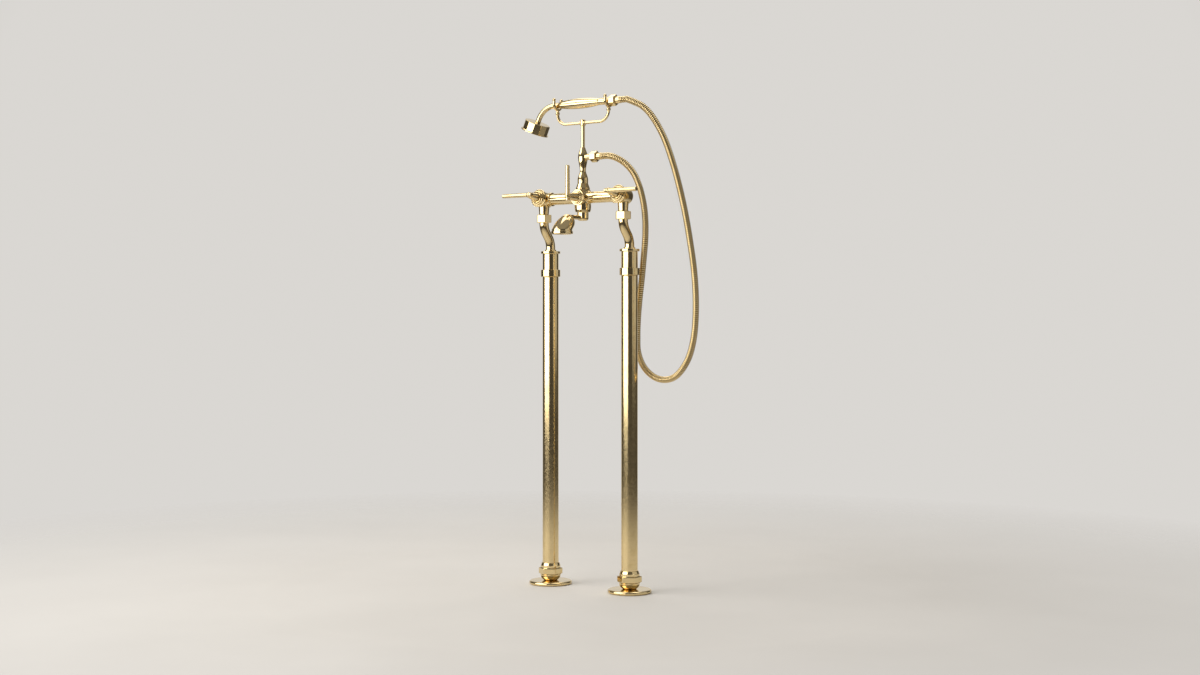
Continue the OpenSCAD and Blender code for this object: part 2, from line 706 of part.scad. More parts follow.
module mixer_body() color(brass) difference() {
    union() {
        along_x(bar_z) translate([0, 0, -leg_x]) cylinder(d = bar_d, h = leg_pitch);
        for (x = [-leg_x, 0, leg_x]) valve_housing(x);
        for (side = [HOT, COLD]) {
            bar_ring(side);
            mixer_tail(side);
        }
        vase();
        at_centre(riser_z - cut) cylinder(d = riser_thread_d, h = riser_thread_l + cut);
    }
    for (x = [-leg_x, 0, leg_x]) at_valve(x)
        translate([0, 0, -cavity_back]) cylinder(d = cavity_d, h = cavity_back + housing_front + cut);
    at_valve(0) translate([0, 0, bonnet_y]) difference() {
        cylinder(d = spot_face_d, h = vase_d);
        cylinder(d = spigot_d, h = housing_front - bonnet_y);
    }
    along_x(bar_z) translate([0, 0, -leg_x]) cylinder(d = bar_bore_d, h = leg_pitch);
    for (side = [HOT, COLD]) at_union(side)
        translate([0, 0, tail_z - cut]) cylinder(d = neck_bore_d, h = bar_z - tail_z);
    at_centre(spout_z) cylinder(d = spout_bore_d, h = spout_drop);
    at_centre(bar_z) cylinder(d = riser_bore_d, h = boss_h + riser_thread_l + cut);
    at_centre(spout_z) rotate([90, 0, 0]) {
        translate([0, 0, spout_tail]) cylinder(d = spout_tube_d + 2 * seat_gap, h = vase_d);
        cylinder(d = spout_bore_d, h = vase_d);
    }
}

// Valves, drawn about an axis that points to the front
module cartridge(x) color(brass) at_valve(x) difference() {
    union() {
        translate([0, 0, fixed_disc_y]) cylinder(d = cartridge_d, h = housing_front - fixed_disc_y);
        cylinder(d = nose_d, h = bonnet_front(x));
    }
    translate([0, 0, fixed_disc_y - cut]) cylinder(d = disc_room_d, h = disc_room_end - fixed_disc_y + cut);
    bore(spindle_d + 2 * run_gap, 0, bonnet_front(x));
    translate([-cartridge_d, -spindle_d / 3, spindle_y])
        cube([2 * cartridge_d, 2 * spindle_d / 3, disc_room_end - spindle_y]);
}

module spindle(x) color(brass) at_valve(x) translate([0, 0, spindle_y]) {
    cylinder(d = disc_d, h = spindle_flange_t);
    cylinder(d = spindle_d, h = spindle_end(x) - spindle_y);
}

// A ceramic disc with two quarter openings
module ceramic_disc(y) translate([0, 0, y]) difference() {
    cylinder(d = disc_d, h = disc_t);
    for (a = [0, 180]) rotate(a) translate([disc_d / 4, 0, 0]) bore(disc_d / 4, 0, disc_t);
}

module moving_disc(x) color(ceramic) at_valve(x) ceramic_disc(moving_disc_y);

module fixed_discs() color(ceramic) for (x = [-leg_x, 0, leg_x]) at_valve(x) ceramic_disc(fixed_disc_y);

module valve_seals() color(rubber) for (x = [-leg_x, 0, leg_x]) at_valve(x) translate([0, 0, -cavity_back])
    ring(disc_d, disc_d / 2, valve_seal_t);

module bonnet(x) color(brass) at_valve(x) difference() {
    translate([0, 0, bonnet_y]) union() {
        round_disc(bonnet_width(x), bonnet_rim_t, bonnet_rim_t / 3);
        translate([0, 0, bonnet_rim_t / 2])
            round_disc(bonnet_mid * bonnet_width(x), bonnet_rim_t / 2 + step_h(x), seat_edge);
        translate([0, 0, bonnet_rim_t]) round_disc(bonnet_top * bonnet_width(x), 2 * step_h(x), seat_edge);
    }
    translate([0, 0, bonnet_y - cut]) cylinder(d = spigot_d + 2 * seat_gap, h = bonnet_skirt + cut);
    bore(nose_d + 2 * seat_gap, bonnet_y, bonnet_front(x));
}

// The lever of the valve at x, pointing along +X, with its rod across the end of a tapered hub
module lever_shape(x) difference() {
    union() {
        translate([0, 0, hub_y(x)]) cylinder(d1 = hub_d, d2 = hub_tip_d, h = hub_front - hub_y(x));
        translate([0, 0, rod_front]) rotate([0, 90, 0]) rotate_extrude() lever_profile(lever_tip(x));
    }
    translate([0, 0, hub_y(x) - cut])
        cylinder(d = spindle_d + 2 * seat_gap, h = spindle_end(x) - hub_y(x) + cut);
    translate([0, 0, hub_y(x) + grub_in]) rotate([90, 0, 0]) cylinder(d = grub_d + 2 * seat_gap, h = hub_d);
}

// Half section of a lever rod: a slight taper with broken edges
module lever_profile(tip) polygon([
    [0, -rod_back], [lever_d / 2 - rod_edge, -rod_back], [lever_d / 2, rod_edge - rod_back],
    [lever_tip_d / 2, tip - rod_edge], [lever_tip_d / 2 - rod_edge, tip], [0, tip]
]);

module grub_screw_shape(x) translate([0, 0, hub_y(x) + grub_in]) rotate([90, 0, 0]) difference() {
    translate([0, 0, spindle_d / 2]) cylinder(d = grub_d, h = hub_d / 2 - spindle_d / 2 - seat_edge);
    translate([0, 0, hub_d / 2 - grub_d / 2 - seat_edge]) hexagon(grub_d / 2, grub_d);
}

module hot_side() at_valve(-leg_x) mirror([1, 0, 0]) children();
module cold_side() at_valve(leg_x) children();
module diverter_side() at_valve(0) rotate(90) children();

// Spout
module bell_shape(d, h, $fn = bell_sides) {
    cylinder(d = d, h = bell_skirt);
    hull() {
        translate([0, 0, bell_skirt - seat_edge]) cylinder(d = d, h = seat_edge);
        translate([0, bell_lean, h - d / 2]) sphere(d = d);
    }
}

module spout() color(brass) difference() {
    union() {
        at_centre(spout_z) rotate([90, 0, 0]) translate([0, 0, spout_tail])
            cylinder(d = spout_tube_d, h = spout_reach - spout_tail - bell_lean);
        at_bell(bell_z) {
            bell_shape(bell_d, bell_h);
            round_disc(bell_d + 2 * lip_step, lip_h, lip_step);
        }
    }
    at_centre(spout_z) rotate([90, 0, 0]) cylinder(d = spout_bore_d, h = spout_reach - bell_lean);
    at_bell(bell_z) bell_shape(bell_d - 2 * bell_wall, bell_h - bell_wall);
    at_bell(bell_z) bore(bell_d - 2 * bell_wall, 0, mouth_depth);
}

module flow_straightener() color(plastic) at_bell(straightener_z) difference() {
    cylinder(d = bell_d - 2 * bell_wall - 2 * seat_gap, h = straightener_t);
    bore(straightener_hole_d, 0, straightener_t);
    for (n = [1, 2], i = [0 : 6 * n - 1]) rotate(60 * i / n) translate([n * straightener_pitch, 0, 0])
        bore(straightener_hole_d, 0, straightener_t);
}

// Riser and cradle
module riser_profile() {
    polygon([
        [0, 0], [boss_d / 2, 0], [boss_d / 2, skirt_h / 6],
        [riser_d / 2, skirt_h], [riser_d / 2, skirt_h * 1.6],
        [waist_d / 2, skirt_h + riser_h * 0.45], [waist_d / 2, skirt_h + riser_h * 0.53],
        [cone_d / 2, skirt_h + riser_h], [cone_d / 2, skirt_h + riser_h + cone_h / 4],
        [riser_tip_d / 2, skirt_h + riser_h + cone_h], [0, skirt_h + riser_h + cone_h]
    ]);
}

module riser() color(brass) difference() {
    union() {
        at_centre(riser_z) rotate_extrude() riser_profile();
        at_centre(bulb_z) sphere(d = bulb_d);
        along_x(bulb_z) {
            cylinder(d = outlet_d, h = outlet_l);
            translate([0, 0, outlet_l]) cylinder(d = hose_thread_d, h = thread_l);
        }
    }
    at_centre(riser_z - cut) cylinder(d = riser_bore_d, h = bulb_z - riser_z + cut);
    at_centre(riser_z - cut) cylinder(d = riser_thread_d + 2 * seat_gap, h = riser_thread_l + cut);
    along_x(bulb_z) {
        cylinder(d = riser_bore_d, h = outlet_x + cut);
        translate([0, 0, outlet_x - check_valve_l])
            cylinder(d = check_valve_d + 2 * seat_gap, h = check_valve_l + cut);
    }
    at_centre(riser_top - stud_l) cylinder(d = stud_d + 2 * seat_gap, h = stud_l + cut);
}

module check_valve() color(plastic) along_x(bulb_z) translate([0, 0, outlet_x - check_valve_l])
    ring(check_valve_d, check_valve_d / 2, check_valve_l);

module cradle_rod() color(brass) at_centre(riser_top) {
    translate([0, 0, -stud_l]) cylinder(d = stud_d, h = 2 * stud_l);
    cylinder(d = rod_d, h = rod_l - tee_h / 2);
    translate([0, 0, stud_l]) cylinder(d = stud_d, h = rod_l - stud_l);
}

// A fork that holds a round bar of diameter d at the handset axis
module fork(x, d) {
    middle_z = handset_z - d / 2 - move_gap - wire_d / 2 + fork_r;
    upright_y(x) translate([-body_forward, middle_z, 0]) {
        rotate(180) bent_bar(fork_r, wire_d, 180);
        for (s = [-1, 1]) translate([s * fork_r, 0, 0]) {
            rotate([-90, 0, 0]) cylinder(d = wire_d, h = prong_l);
            translate([0, prong_l, 0]) sphere(d = ball_d);
        }
    }
    translate([x, -body_forward, cross_z + corner_r]) {
        cylinder(d = wire_d, h = middle_z - fork_r - cross_z - corner_r);
        translate([0, 0, knob_up]) sphere(d = knob_d);
    }
}

module cradle_fork() color(brass) difference() {
    union() {
        along_x(cross_z) translate([0, 0, -cross_x]) cylinder(d = wire_d, h = 2 * cross_x);
        upright_x() translate([0, cross_z + corner_r, 0]) {
            translate([cross_x, 0, 0]) rotate(-90) bent_bar(corner_r, wire_d, 90);
            translate([-cross_x, 0, 0]) rotate(180) bent_bar(corner_r, wire_d, 90);
        }
        fork(-fork_x, handset_neck_d);
        fork(fork_x, handset_tail_d);
        at_centre(cross_z - tee_h / 2) round_disc(tee_d, tee_h, seat_edge);
        along_x(cross_z) translate([0, 0, -tee_h / 2]) round_disc(cross_ring_d, tee_h, seat_edge);
    }
    at_centre(cross_z - tee_h / 2 - cut) cylinder(d = stud_d + 2 * seat_gap, h = tee_h / 2 + cut);
}

// Handset, drawn about its axis along X
module at_head() upright_x() translate([-neck_x, handset_z - handset_bend_r, 0])
    rotate(90 + neck_turn) translate([handset_bend_r, 0, 0]) rotate([-90, 0, 0]) children();

// The neck's bar: a straight run to x1, the bend and a straight end
module neck_bar(d, x1, end) {
    along_x(handset_z) translate([0, 0, -neck_x]) cylinder(d = d, h = neck_x + x1);
    upright_x() translate([-neck_x, handset_z - handset_bend_r, 0])
        rotate(90) bent_bar(handset_bend_r, d, neck_turn);
    at_head() lapped_bar(d, end - joint_lap);
}

module handset_neck() color(brass) difference() {
    union() {
        neck_bar(handset_neck_d, -grip_x0, head_drop);
        along_x(handset_z) translate([0, 0, -grip_x0]) cylinder(d = handset_core_d, h = grip_l + thread_l);
        at_head() translate([0, 0, head_drop]) cylinder(d = handset_core_d, h = head_socket_l);
    }
    neck_bar(handset_bore_d, grip_x1 + thread_l + cut, head_drop + head_socket_l + cut);
}

module handset_grip() color(brass) along_x(handset_z) difference() {
    translate([0, 0, -grip_x0]) rotate_extrude() intersection() {
        translate([grip_d / 2 - grip_arc_r, grip_l / 2]) circle(r = grip_arc_r, $fn = 8 * $fn);
        square([grip_d, grip_l]);
    }
    bore(handset_core_d + 2 * seat_gap, -grip_x0, grip_x1);
}

module handset_tail() color(brass) along_x(handset_z) difference() {
    union() {
        translate([0, 0, grip_x1]) cylinder(d = handset_tail_d, h = tail_x1 - grip_x1);
        translate([0, 0, tail_x1]) cylinder(d = hose_thread_d, h = thread_l);
    }
    bore(handset_bore_d, grip_x1, handset_thread_x);
    translate([0, 0, grip_x1 - cut])
        cylinder(d = handset_core_d + 2 * seat_gap, h = thread_l + seat_gap + cut);
}

module shower_head() color(brass) at_head() translate([0, 0, head_drop]) difference() {
    union() {
        rotate(head_turn) cylinder(d = head_d, h = head_h, $fn = head_sides);
        translate([0, 0, head_h - head_lip_t]) round_disc(head_lip_d, head_lip_t, head_lip_t / 3);
    }
    bore(handset_core_d + 2 * seat_gap, 0, head_wall);
    translate([0, 0, head_wall]) cylinder(d = head_room_d, h = head_h);
}

module spray_plate() color(brass) at_head() translate([0, 0, spray_plate_z]) difference() {
    cylinder(d = head_room_d - 2 * seat_gap, h = spray_plate_t);
    bore(jet_d, 0, spray_plate_t);
    for (n = [1 : len(jet_rings)], i = [0 : jet_rings[n - 1] - 1])
        rotate(360 * i / jet_rings[n - 1]) translate([n * jet_ring_step, 0, 0])
            bore(jet_d, 0, spray_plate_t);
}

// Hose and its ends
module hose_washer(x, z) color(rubber) along_x(z) translate([0, 0, x])
    ring(hose_thread_d, handset_bore_d, hose_washer_t);

module hose_nut(x, z) color(brass) along_x(z) translate([0, 0, x]) difference() {
    intersection() {
        hexagon(hose_nut_af, hose_nut_l);
        round_disc(hose_nut_af / cos(30), hose_nut_l, seat_edge);
    }
    bore(stem_d + 2 * seat_gap, 0, hose_nut_l);
    translate([0, 0, -cut]) cylinder(d = hose_thread_d + 2 * seat_gap, h = hose_nut_l - nut_lip + cut);
}

module ferrule(x, z) color(brass) along_x(z) translate([0, 0, x + hose_nut_l]) difference() {
    union() {
        translate([0, 0, -nut_lip - hose_collar_t]) cylinder(d = hose_thread_d, h = hose_collar_t);
        translate([0, 0, -nut_lip]) cylinder(d = stem_d, h = nut_lip + ferrule_l / 2);
        round_disc(ferrule_d, ferrule_l, seat_edge);
    }
    bore(hose_bore_d, -nut_lip - hose_collar_t, ferrule_l);
}

module hose() color(brass) polyhedron(
    points = [for (s = concat(outer_stations, bore_stations)) each hose_ring(s[0], s[1])],
    faces = let (n = len(outer_stations), m = len(bore_stations), inner = n * hose_sides) concat(
        wall_faces(0, n, true),
        wall_faces(inner, m, false),
        end_faces(0, inner, true),
        end_faces((n - 1) * hose_sides, inner + (m - 1) * hose_sides, false)
    )
);

floor_plate(HOT);  // hot_floor_plate
floor_plate(COLD);  // cold_floor_plate
floor_flange(HOT);  // hot_floor_flange
floor_flange(COLD);  // cold_floor_flange
base_nut(HOT);  // hot_base_nut
base_nut(COLD);  // cold_base_nut
base_seals();
leg_cover(HOT);  // hot_leg_cover
leg_cover(COLD);  // cold_leg_cover
collar(HOT);  // hot_collar
collar(COLD);  // cold_collar
top_sleeve(HOT);  // hot_top_sleeve
top_sleeve(COLD);  // cold_top_sleeve
supply_pipe(HOT);  // hot_supply_pipe
supply_pipe(COLD);  // cold_supply_pipe
swan_neck(HOT);  // hot_swan_neck
swan_neck(COLD);  // cold_swan_neck
union_nut(HOT);  // hot_union_nut
union_nut(COLD);  // cold_union_nut
union_washers();
mixer_body();
cartridge(-leg_x);  // hot_cartridge
cartridge(leg_x);  // cold_cartridge
cartridge(0);  // diverter_cartridge
spindle(-leg_x);  // hot_spindle
spindle(leg_x);  // cold_spindle
spindle(0);  // diverter_spindle
moving_disc(-leg_x);  // hot_moving_disc
moving_disc(leg_x);  // cold_moving_disc
moving_disc(0);  // diverter_moving_disc
fixed_discs();
valve_seals();
bonnet(-leg_x);  // hot_bonnet
bonnet(leg_x);  // cold_bonnet
bonnet(0);  // diverter_bonnet
color(brass) hot_side() lever_shape(-leg_x);  // hot_lever
color(brass) cold_side() lever_shape(leg_x);  // cold_lever
color(brass) diverter_side() lever_shape(0);  // diverter_lever
color(brass) hot_side() grub_screw_shape(-leg_x);  // hot_grub_screw
color(brass) cold_side() grub_screw_shape(leg_x);  // cold_grub_screw
color(brass) diverter_side() grub_screw_shape(0);  // diverter_grub_screw
spout();
flow_straightener();
riser();
check_valve();
cradle_rod();
cradle_fork();
handset_neck();
handset_grip();
handset_tail();
shower_head();
spray_plate();
hose_washer(outlet_x, bulb_z);  // riser_hose_washer
hose_nut(riser_nut_x, bulb_z);  // riser_hose_nut
ferrule(riser_nut_x, bulb_z);  // riser_ferrule
hose();
hose_washer(handset_thread_x, handset_z);  // handset_hose_washer
hose_nut(handset_nut_x, handset_z);  // handset_hose_nut
ferrule(handset_nut_x, handset_z);  // handset_ferrule
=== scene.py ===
"""Looks of a bath shower mixer on standpipes: lever valves, bell spout, hand shower and hose, all in brass.

Sizes are in millimetres in the row frame (+X cold side, -Y front, +Z up) and become metres as a mesh is made.
"""

from __future__ import annotations

import json
import logging
import math
from dataclasses import dataclass, field, replace
from enum import Enum

import bpy
import numpy as np
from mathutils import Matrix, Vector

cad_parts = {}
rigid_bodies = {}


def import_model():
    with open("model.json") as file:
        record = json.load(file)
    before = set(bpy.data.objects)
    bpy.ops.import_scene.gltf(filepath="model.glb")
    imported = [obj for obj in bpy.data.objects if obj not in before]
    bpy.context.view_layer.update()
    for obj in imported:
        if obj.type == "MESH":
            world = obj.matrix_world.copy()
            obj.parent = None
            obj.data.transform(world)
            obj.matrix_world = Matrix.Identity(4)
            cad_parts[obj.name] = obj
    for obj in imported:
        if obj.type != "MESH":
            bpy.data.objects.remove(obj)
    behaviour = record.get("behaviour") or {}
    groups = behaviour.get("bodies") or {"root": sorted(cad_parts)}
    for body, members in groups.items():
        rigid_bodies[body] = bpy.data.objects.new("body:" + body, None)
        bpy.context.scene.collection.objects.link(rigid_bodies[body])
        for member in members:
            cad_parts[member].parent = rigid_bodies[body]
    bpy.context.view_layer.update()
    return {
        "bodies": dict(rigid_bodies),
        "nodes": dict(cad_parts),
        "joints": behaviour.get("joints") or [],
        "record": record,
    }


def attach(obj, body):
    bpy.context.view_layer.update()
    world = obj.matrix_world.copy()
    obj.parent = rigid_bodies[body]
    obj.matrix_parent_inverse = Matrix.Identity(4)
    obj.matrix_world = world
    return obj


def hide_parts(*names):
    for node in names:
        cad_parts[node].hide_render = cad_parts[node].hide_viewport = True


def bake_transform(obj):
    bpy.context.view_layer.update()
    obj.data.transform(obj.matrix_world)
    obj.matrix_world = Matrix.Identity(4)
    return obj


LOG = logging.getLogger("bath_shower_mixer")
Array = np.ndarray
MM = 0.001

# Places of the legs and the body, and the gap of what slides
LEG_X = 90.0
BODY_Y = -20.0
LEG_TOP = 621.0
VALVE_TILT = 8.0
SLIDE_GAP = 0.1

# Height of the union nuts, the heights of what stands above them, and the levels that follow
UNION_Z = 673.073
UNION_H = 15.5
TAIL_H = 27.5
SHOULDER_H = 15.5
BULB_H = 58.5
RISER_H = 76.5
ROD_H = 45.0
HANDSET_H = 36.0
BAR_Z = UNION_Z + UNION_H + TAIL_H
RISER_Z = BAR_Z + SHOULDER_H
BULB_Z = RISER_Z + BULB_H
CROSS_Z = RISER_Z + RISER_H + ROD_H
HANDSET_Z = CROSS_Z + HANDSET_H


class Axis(Enum):
    """Directions that a turned piece's axis takes."""

    UP = (0.0, 0.0, 1.0)
    FRONT = (0.0, -1.0, 0.0)
    RIGHT = (1.0, 0.0, 0.0)


class Side(Enum):
    """The two standpipes, by the sign of their X."""

    HOT = -1
    COLD = 1


class Slot(Enum):
    """Material slots of the record."""

    BRASS = "polished_brass"
    RUBBER = "rubber"
    CERAMIC = "ceramic"
    PLASTIC = "white_plastic"


# Surfaces

# Share of a side that a rounding may take, and how far out its guard point lies, in lengths of the rounding
LONGEST_REACH = 0.4
GUARD = 1.2


def unit(vectors: Array) -> Array:
    """Vectors along the last axis, each divided by its own length."""
    return vectors / np.linalg.norm(vectors, axis=-1, keepdims=True)


def rounded(corners: list[tuple[float, ...]], radius: float, steps: int = 5, closed: bool = False) -> Array:
    """Line through corners with an arc in place of each inner corner, or of each corner of a closed line.

    A corner with half angle h between its two sides gets the arc of the radius that touches both sides at the
    distance radius / tan(h), or a smaller arc where a side is short. A guard point just outside each end of
    an arc keeps the flats beside it flat.

    Args:
        corners: Points of the line, with any number of columns.
        radius: Radius of every arc.
        steps: Number of chords in an arc.
        closed: Whether the line runs on from its last corner to its first.

    Returns:
        Points of the rounded line, one row each.
    """
    line = np.asarray(corners, float)
    if closed:
        line = np.concatenate([line[-1:], line, line[:1]])
    at = line[1:-1]
    u, v = unit(line[:-2] - at), unit(line[2:] - at)
    half = np.arccos(np.clip(np.sum(u * v, axis=1), -0.9999, 0.9999)) / 2
    shortest = np.minimum(np.linalg.norm(line[:-2] - at, axis=1), np.linalg.norm(line[2:] - at, axis=1))
    reach = np.minimum(radius / np.tan(half), LONGEST_REACH * shortest)[:, None]
    centre = at + unit(u + v) * reach / np.cos(half)[:, None]
    share = np.linspace(0, 1, steps + 1)[None, :, None]
    sweep = (np.pi - 2 * half)[:, None, None]
    first, last = at + u * reach - centre, at + v * reach - centre
    before, after = np.sin((1 - share) * sweep), np.sin(share * sweep)
    arcs = (before * first[:, None] + after * last[:, None]) / np.sin(sweep)
    guards = [(at + GUARD * side * reach)[:, None] for side in (u, v)]
    rows = np.concatenate([guards[0], arcs + centre[:, None], guards[1]], axis=1)
    curve = rows.reshape(-1, line.shape[1])
    return curve if closed else np.concatenate([line[:1], curve, line[-1:]])


def bar_profile(r: float, low: float, high: float, radius: float = 0.0) -> Array:
    """Profile of a solid round bar of radius r between two heights, with sharp or rounded ends."""
    corners = [(0, low), (r, low), (r, high), (0, high)]
    return rounded(corners, radius) if radius else np.array(corners, float)


def milled_flats(flat: float, low: float, high: float, dip: float,
                 bevel: tuple[float, float]) -> list[tuple[float, float, float]]:
    """Outline of a nut's flats between two heights, which dip inwards a little at both ends.

    Args:
        flat: Distance of a flat from the axis.
        low: Height of the nut's lower edge.
        high: Height of its upper edge.
        dip: How far the ends of a flat lie inside it.
        bevel: Distances from an edge of the nut to where a flat starts and to where it is full.

    Returns:
        Points of radius, height and polygon share 1.
    """
    first, full = bevel
    rows = (flat - dip, low + first), (flat, low + full), (flat, high - full), (flat - dip, high - first)
    return [(*row, 1) for row in rows]


def smooth_line(points: Array, steps: int) -> Array:
    """Smooth curve through points: a cubic on each span, its end slopes half the step between neighbours.

    Args:
        points: Points to pass through, one row each.
        steps: Number of chords in a span.

    Returns:
        Points of the curve, one row each.
    """
    ends = np.concatenate([2 * points[:1] - points[1:2], points, 2 * points[-1:] - points[-2:-1]])
    a, b, c, d = (ends[i : len(ends) - 3 + i, None] for i in range(4))
    t = (np.arange(steps) / steps)[None, :, None]
    spans = b + (c - a) * t / 2 + (2 * a - 5 * b + 4 * c - d) * t**2 / 2 + (3 * b - a - 3 * c + d) * t**3 / 2
    return np.concatenate([spans.reshape(-1, points.shape[1]), points[-1:]])


def run_of(points: Array) -> Array:
    """Distance along a line at each of its points: the running sum of its chords."""
    return np.concatenate([[0.0], np.cumsum(np.linalg.norm(np.diff(points, axis=0), axis=1))])


def across(direction: Array, reference: tuple[float, float, float]) -> tuple[Array, Array]:
    """Two unit vectors square to a direction and to each other, by cross products with a reference."""
    u = unit(np.cross(np.asarray(reference, float), direction))
    return u, np.cross(direction, u)


def arc(centre: tuple[float, ...], e1: tuple[float, ...], e2: tuple[float, ...], span: tuple[float, float],
        steps: int = 24) -> Array:
    """Circular arc: centre + e1 * cos(a) + e2 * sin(a) for a over the span, in degrees.

    Args:
        centre: Centre of the circle.
        e1: Radius vector at 0 degrees.
        e2: Radius vector at 90 degrees.
        span: First and last angle.
        steps: Number of chords.

    Returns:
        Points of the arc, one row each.
    """
    a = np.radians(np.linspace(span[0], span[1], steps + 1))[:, None]
    return np.asarray(centre) + np.cos(a) * np.asarray(e1) + np.sin(a) * np.asarray(e2)


@dataclass
class Shell:
    """A closed surface in millimetres, with each point's distance along its profile."""

    points: Array
    along: Array
    faces: list[list[int]]

    @classmethod
    def from_grid(cls, grid: Array, along: Array, ring: bool = False) -> Shell:
        """Surface over a grid of rows and columns that closes round its columns.

        Neighbouring rows and columns make quads. A ring also joins its last row to its first. Otherwise the
        first and last rows shrink to their middle points, with a fan of triangles. Faces are turned so that
        the volume, the sum of the triple products of their corners, is positive.

        Args:
            grid: Points as rows, columns and coordinates.
            along: Distance along the profile of each row.
            ring: Whether the rows close into a loop.

        Returns:
            The surface.
        """
        if ring:
            rows, columns = grid.shape[:2]
            points, marks = grid.reshape(-1, 3), np.repeat(along, columns)
        else:
            rows, columns = grid.shape[0] - 2, grid.shape[1]
            points = np.concatenate([grid[1:-1].reshape(-1, 3), grid[[0, -1]].mean(axis=1)])
            marks = np.concatenate([np.repeat(along[1:-1], columns), along[[0, -1]]])
        index = np.arange(rows * columns).reshape(rows, columns)
        beside = np.roll(index, -1, axis=1)
        stop = rows if ring else rows - 1
        below, below_beside = np.roll(index, -1, axis=0), np.roll(beside, -1, axis=0)
        quads = np.stack([index, beside, below_beside, below], axis=-1)[:stop].reshape(-1, 4)
        fans = np.empty((0, 3), int)
        if not ring:
            head, tail = np.full(columns, rows * columns), np.full(columns, rows * columns + 1)
            fans = np.concatenate([
                np.stack([head, beside[0], index[0]], axis=-1),
                np.stack([tail, index[-1], beside[-1]], axis=-1),
            ])
        corners = points[np.concatenate([quads[:, [0, 1, 2]], quads[:, [0, 2, 3]], fans])]
        volume = np.einsum("ij,ij->i", corners[:, 0], np.cross(corners[:, 1], corners[:, 2])).sum()
        if volume < 0:
            quads, fans = quads[:, ::-1], fans[:, ::-1]
        return cls(points, marks, quads.tolist() + fans.tolist())

    @classmethod
    def capped(cls, grid: Array, along: Array) -> Shell:
        """Surface over a grid, with a flat end over its first and its last row."""
        rows = np.concatenate([[0], np.arange(len(grid)), [len(grid) - 1]])
        return cls.from_grid(grid[rows], along[rows])

    @classmethod
    def join(cls, shells: list[Shell]) -> Shell:
        """Several surfaces as one, with each one's faces counted on from the points before it.

        Args:
            shells: Surfaces to join.

        Returns:
            The surface of all of them.
        """
        starts = np.cumsum([0] + [len(s.points) for s in shells[:-1]])
        faces = [[i + int(start) for i in face] for s, start in zip(shells, starts) for face in s.faces]
        points = np.concatenate([s.points for s in shells])
        return cls(points, np.concatenate([s.along for s in shells]), faces)


@dataclass(frozen=True)
class Lathe:
    """Turns profiles about an axis, round or towards a polygon with softened corners."""

    base: tuple[float, float, float]
    axis: tuple[float, float, float] = Axis.UP.value
    sides: int = 6
    turn: float = 0.0
    columns: int = 96
    sharpness: float = 70.0

    def shell(self, profile: Array, ring: bool = False) -> Shell:
        """Surface of a profile of radius r, height h and, as a third column, polygon share m.

        A point lies at base + h * axis + r * (1 + m * (p - 1)) * (e1 * cos(a) + e2 * sin(a)), where p at the
        angle a is 1 over the soft largest of cos(a - a_i) for the polygon's flats a_i.

        Args:
            profile: Rows of r and h, or of r, h and m.
            ring: Whether the profile closes into a loop away from the axis.

        Returns:
            The surface.
        """
        axis = np.asarray(self.axis, float)
        reference = (0.0, 1.0, 0.0) if abs(axis[1]) < 0.9 else (1.0, 0.0, 0.0)
        e1, e2 = across(axis, reference)
        a = 2 * np.pi * np.arange(self.columns) / self.columns
        flats = np.radians(self.turn) + 2 * np.pi * np.arange(self.sides) / self.sides
        facing = np.clip(np.cos(a[:, None] - flats), 0, None)
        polygon = np.sum(facing**self.sharpness, axis=1) ** (-1 / self.sharpness)
        share = profile[:, 2] if profile.shape[1] > 2 else np.zeros(len(profile))
        radius = profile[:, :1] * (1 + share[:, None] * (polygon - 1))
        spokes = np.cos(a)[:, None] * e1 + np.sin(a)[:, None] * e2
        grid = np.asarray(self.base) + profile[:, 1, None, None] * axis + radius[..., None] * spokes
        return Shell.from_grid(grid, run_of(profile[:, :2]), ring)


def swept(path: Array, radius: float, reference: tuple[float, float, float], columns: int = 48) -> Shell:
    """Round bar along a path: path + radius * (u * cos(a) + v * sin(a)), u and v square to its heading.

    A guard row a little inside each end keeps the side's shading apart from the flat end's.

    Args:
        path: Points of the middle line.
        radius: Radius of the bar.
        reference: Direction that is never along the path.
        columns: Number of points round the bar.

    Returns:
        The surface, closed by a flat end at each end of the path.
    """
    first, last = 0.95 * path[:1] + 0.05 * path[1:2], 0.95 * path[-1:] + 0.05 * path[-2:-1]
    path = np.concatenate([path[:1], first, path[1:-1], last, path[-1:]])
    u, v = across(unit(np.gradient(path, axis=0)), reference)
    a = (2 * np.pi * np.arange(columns) / columns)[None, :, None]
    grid = path[:, None] + radius * (np.cos(a) * u[:, None] + np.sin(a) * v[:, None])
    return Shell.capped(grid, run_of(path))


def ball(centre: tuple[float, float, float], radius: float) -> Shell:
    """Ball as a half circle turned about the upright axis."""
    a = np.linspace(-np.pi / 2, np.pi / 2, 25)
    return Lathe(centre, columns=48).shell(np.stack([radius * np.cos(a), radius * np.sin(a)], axis=1))


def valve_axis(tilt: float) -> tuple[float, float, float]:
    """Direction to the front that looks up by an angle in degrees."""
    return 0.0, -math.cos(math.radians(tilt)), math.sin(math.radians(tilt))


# Finishes


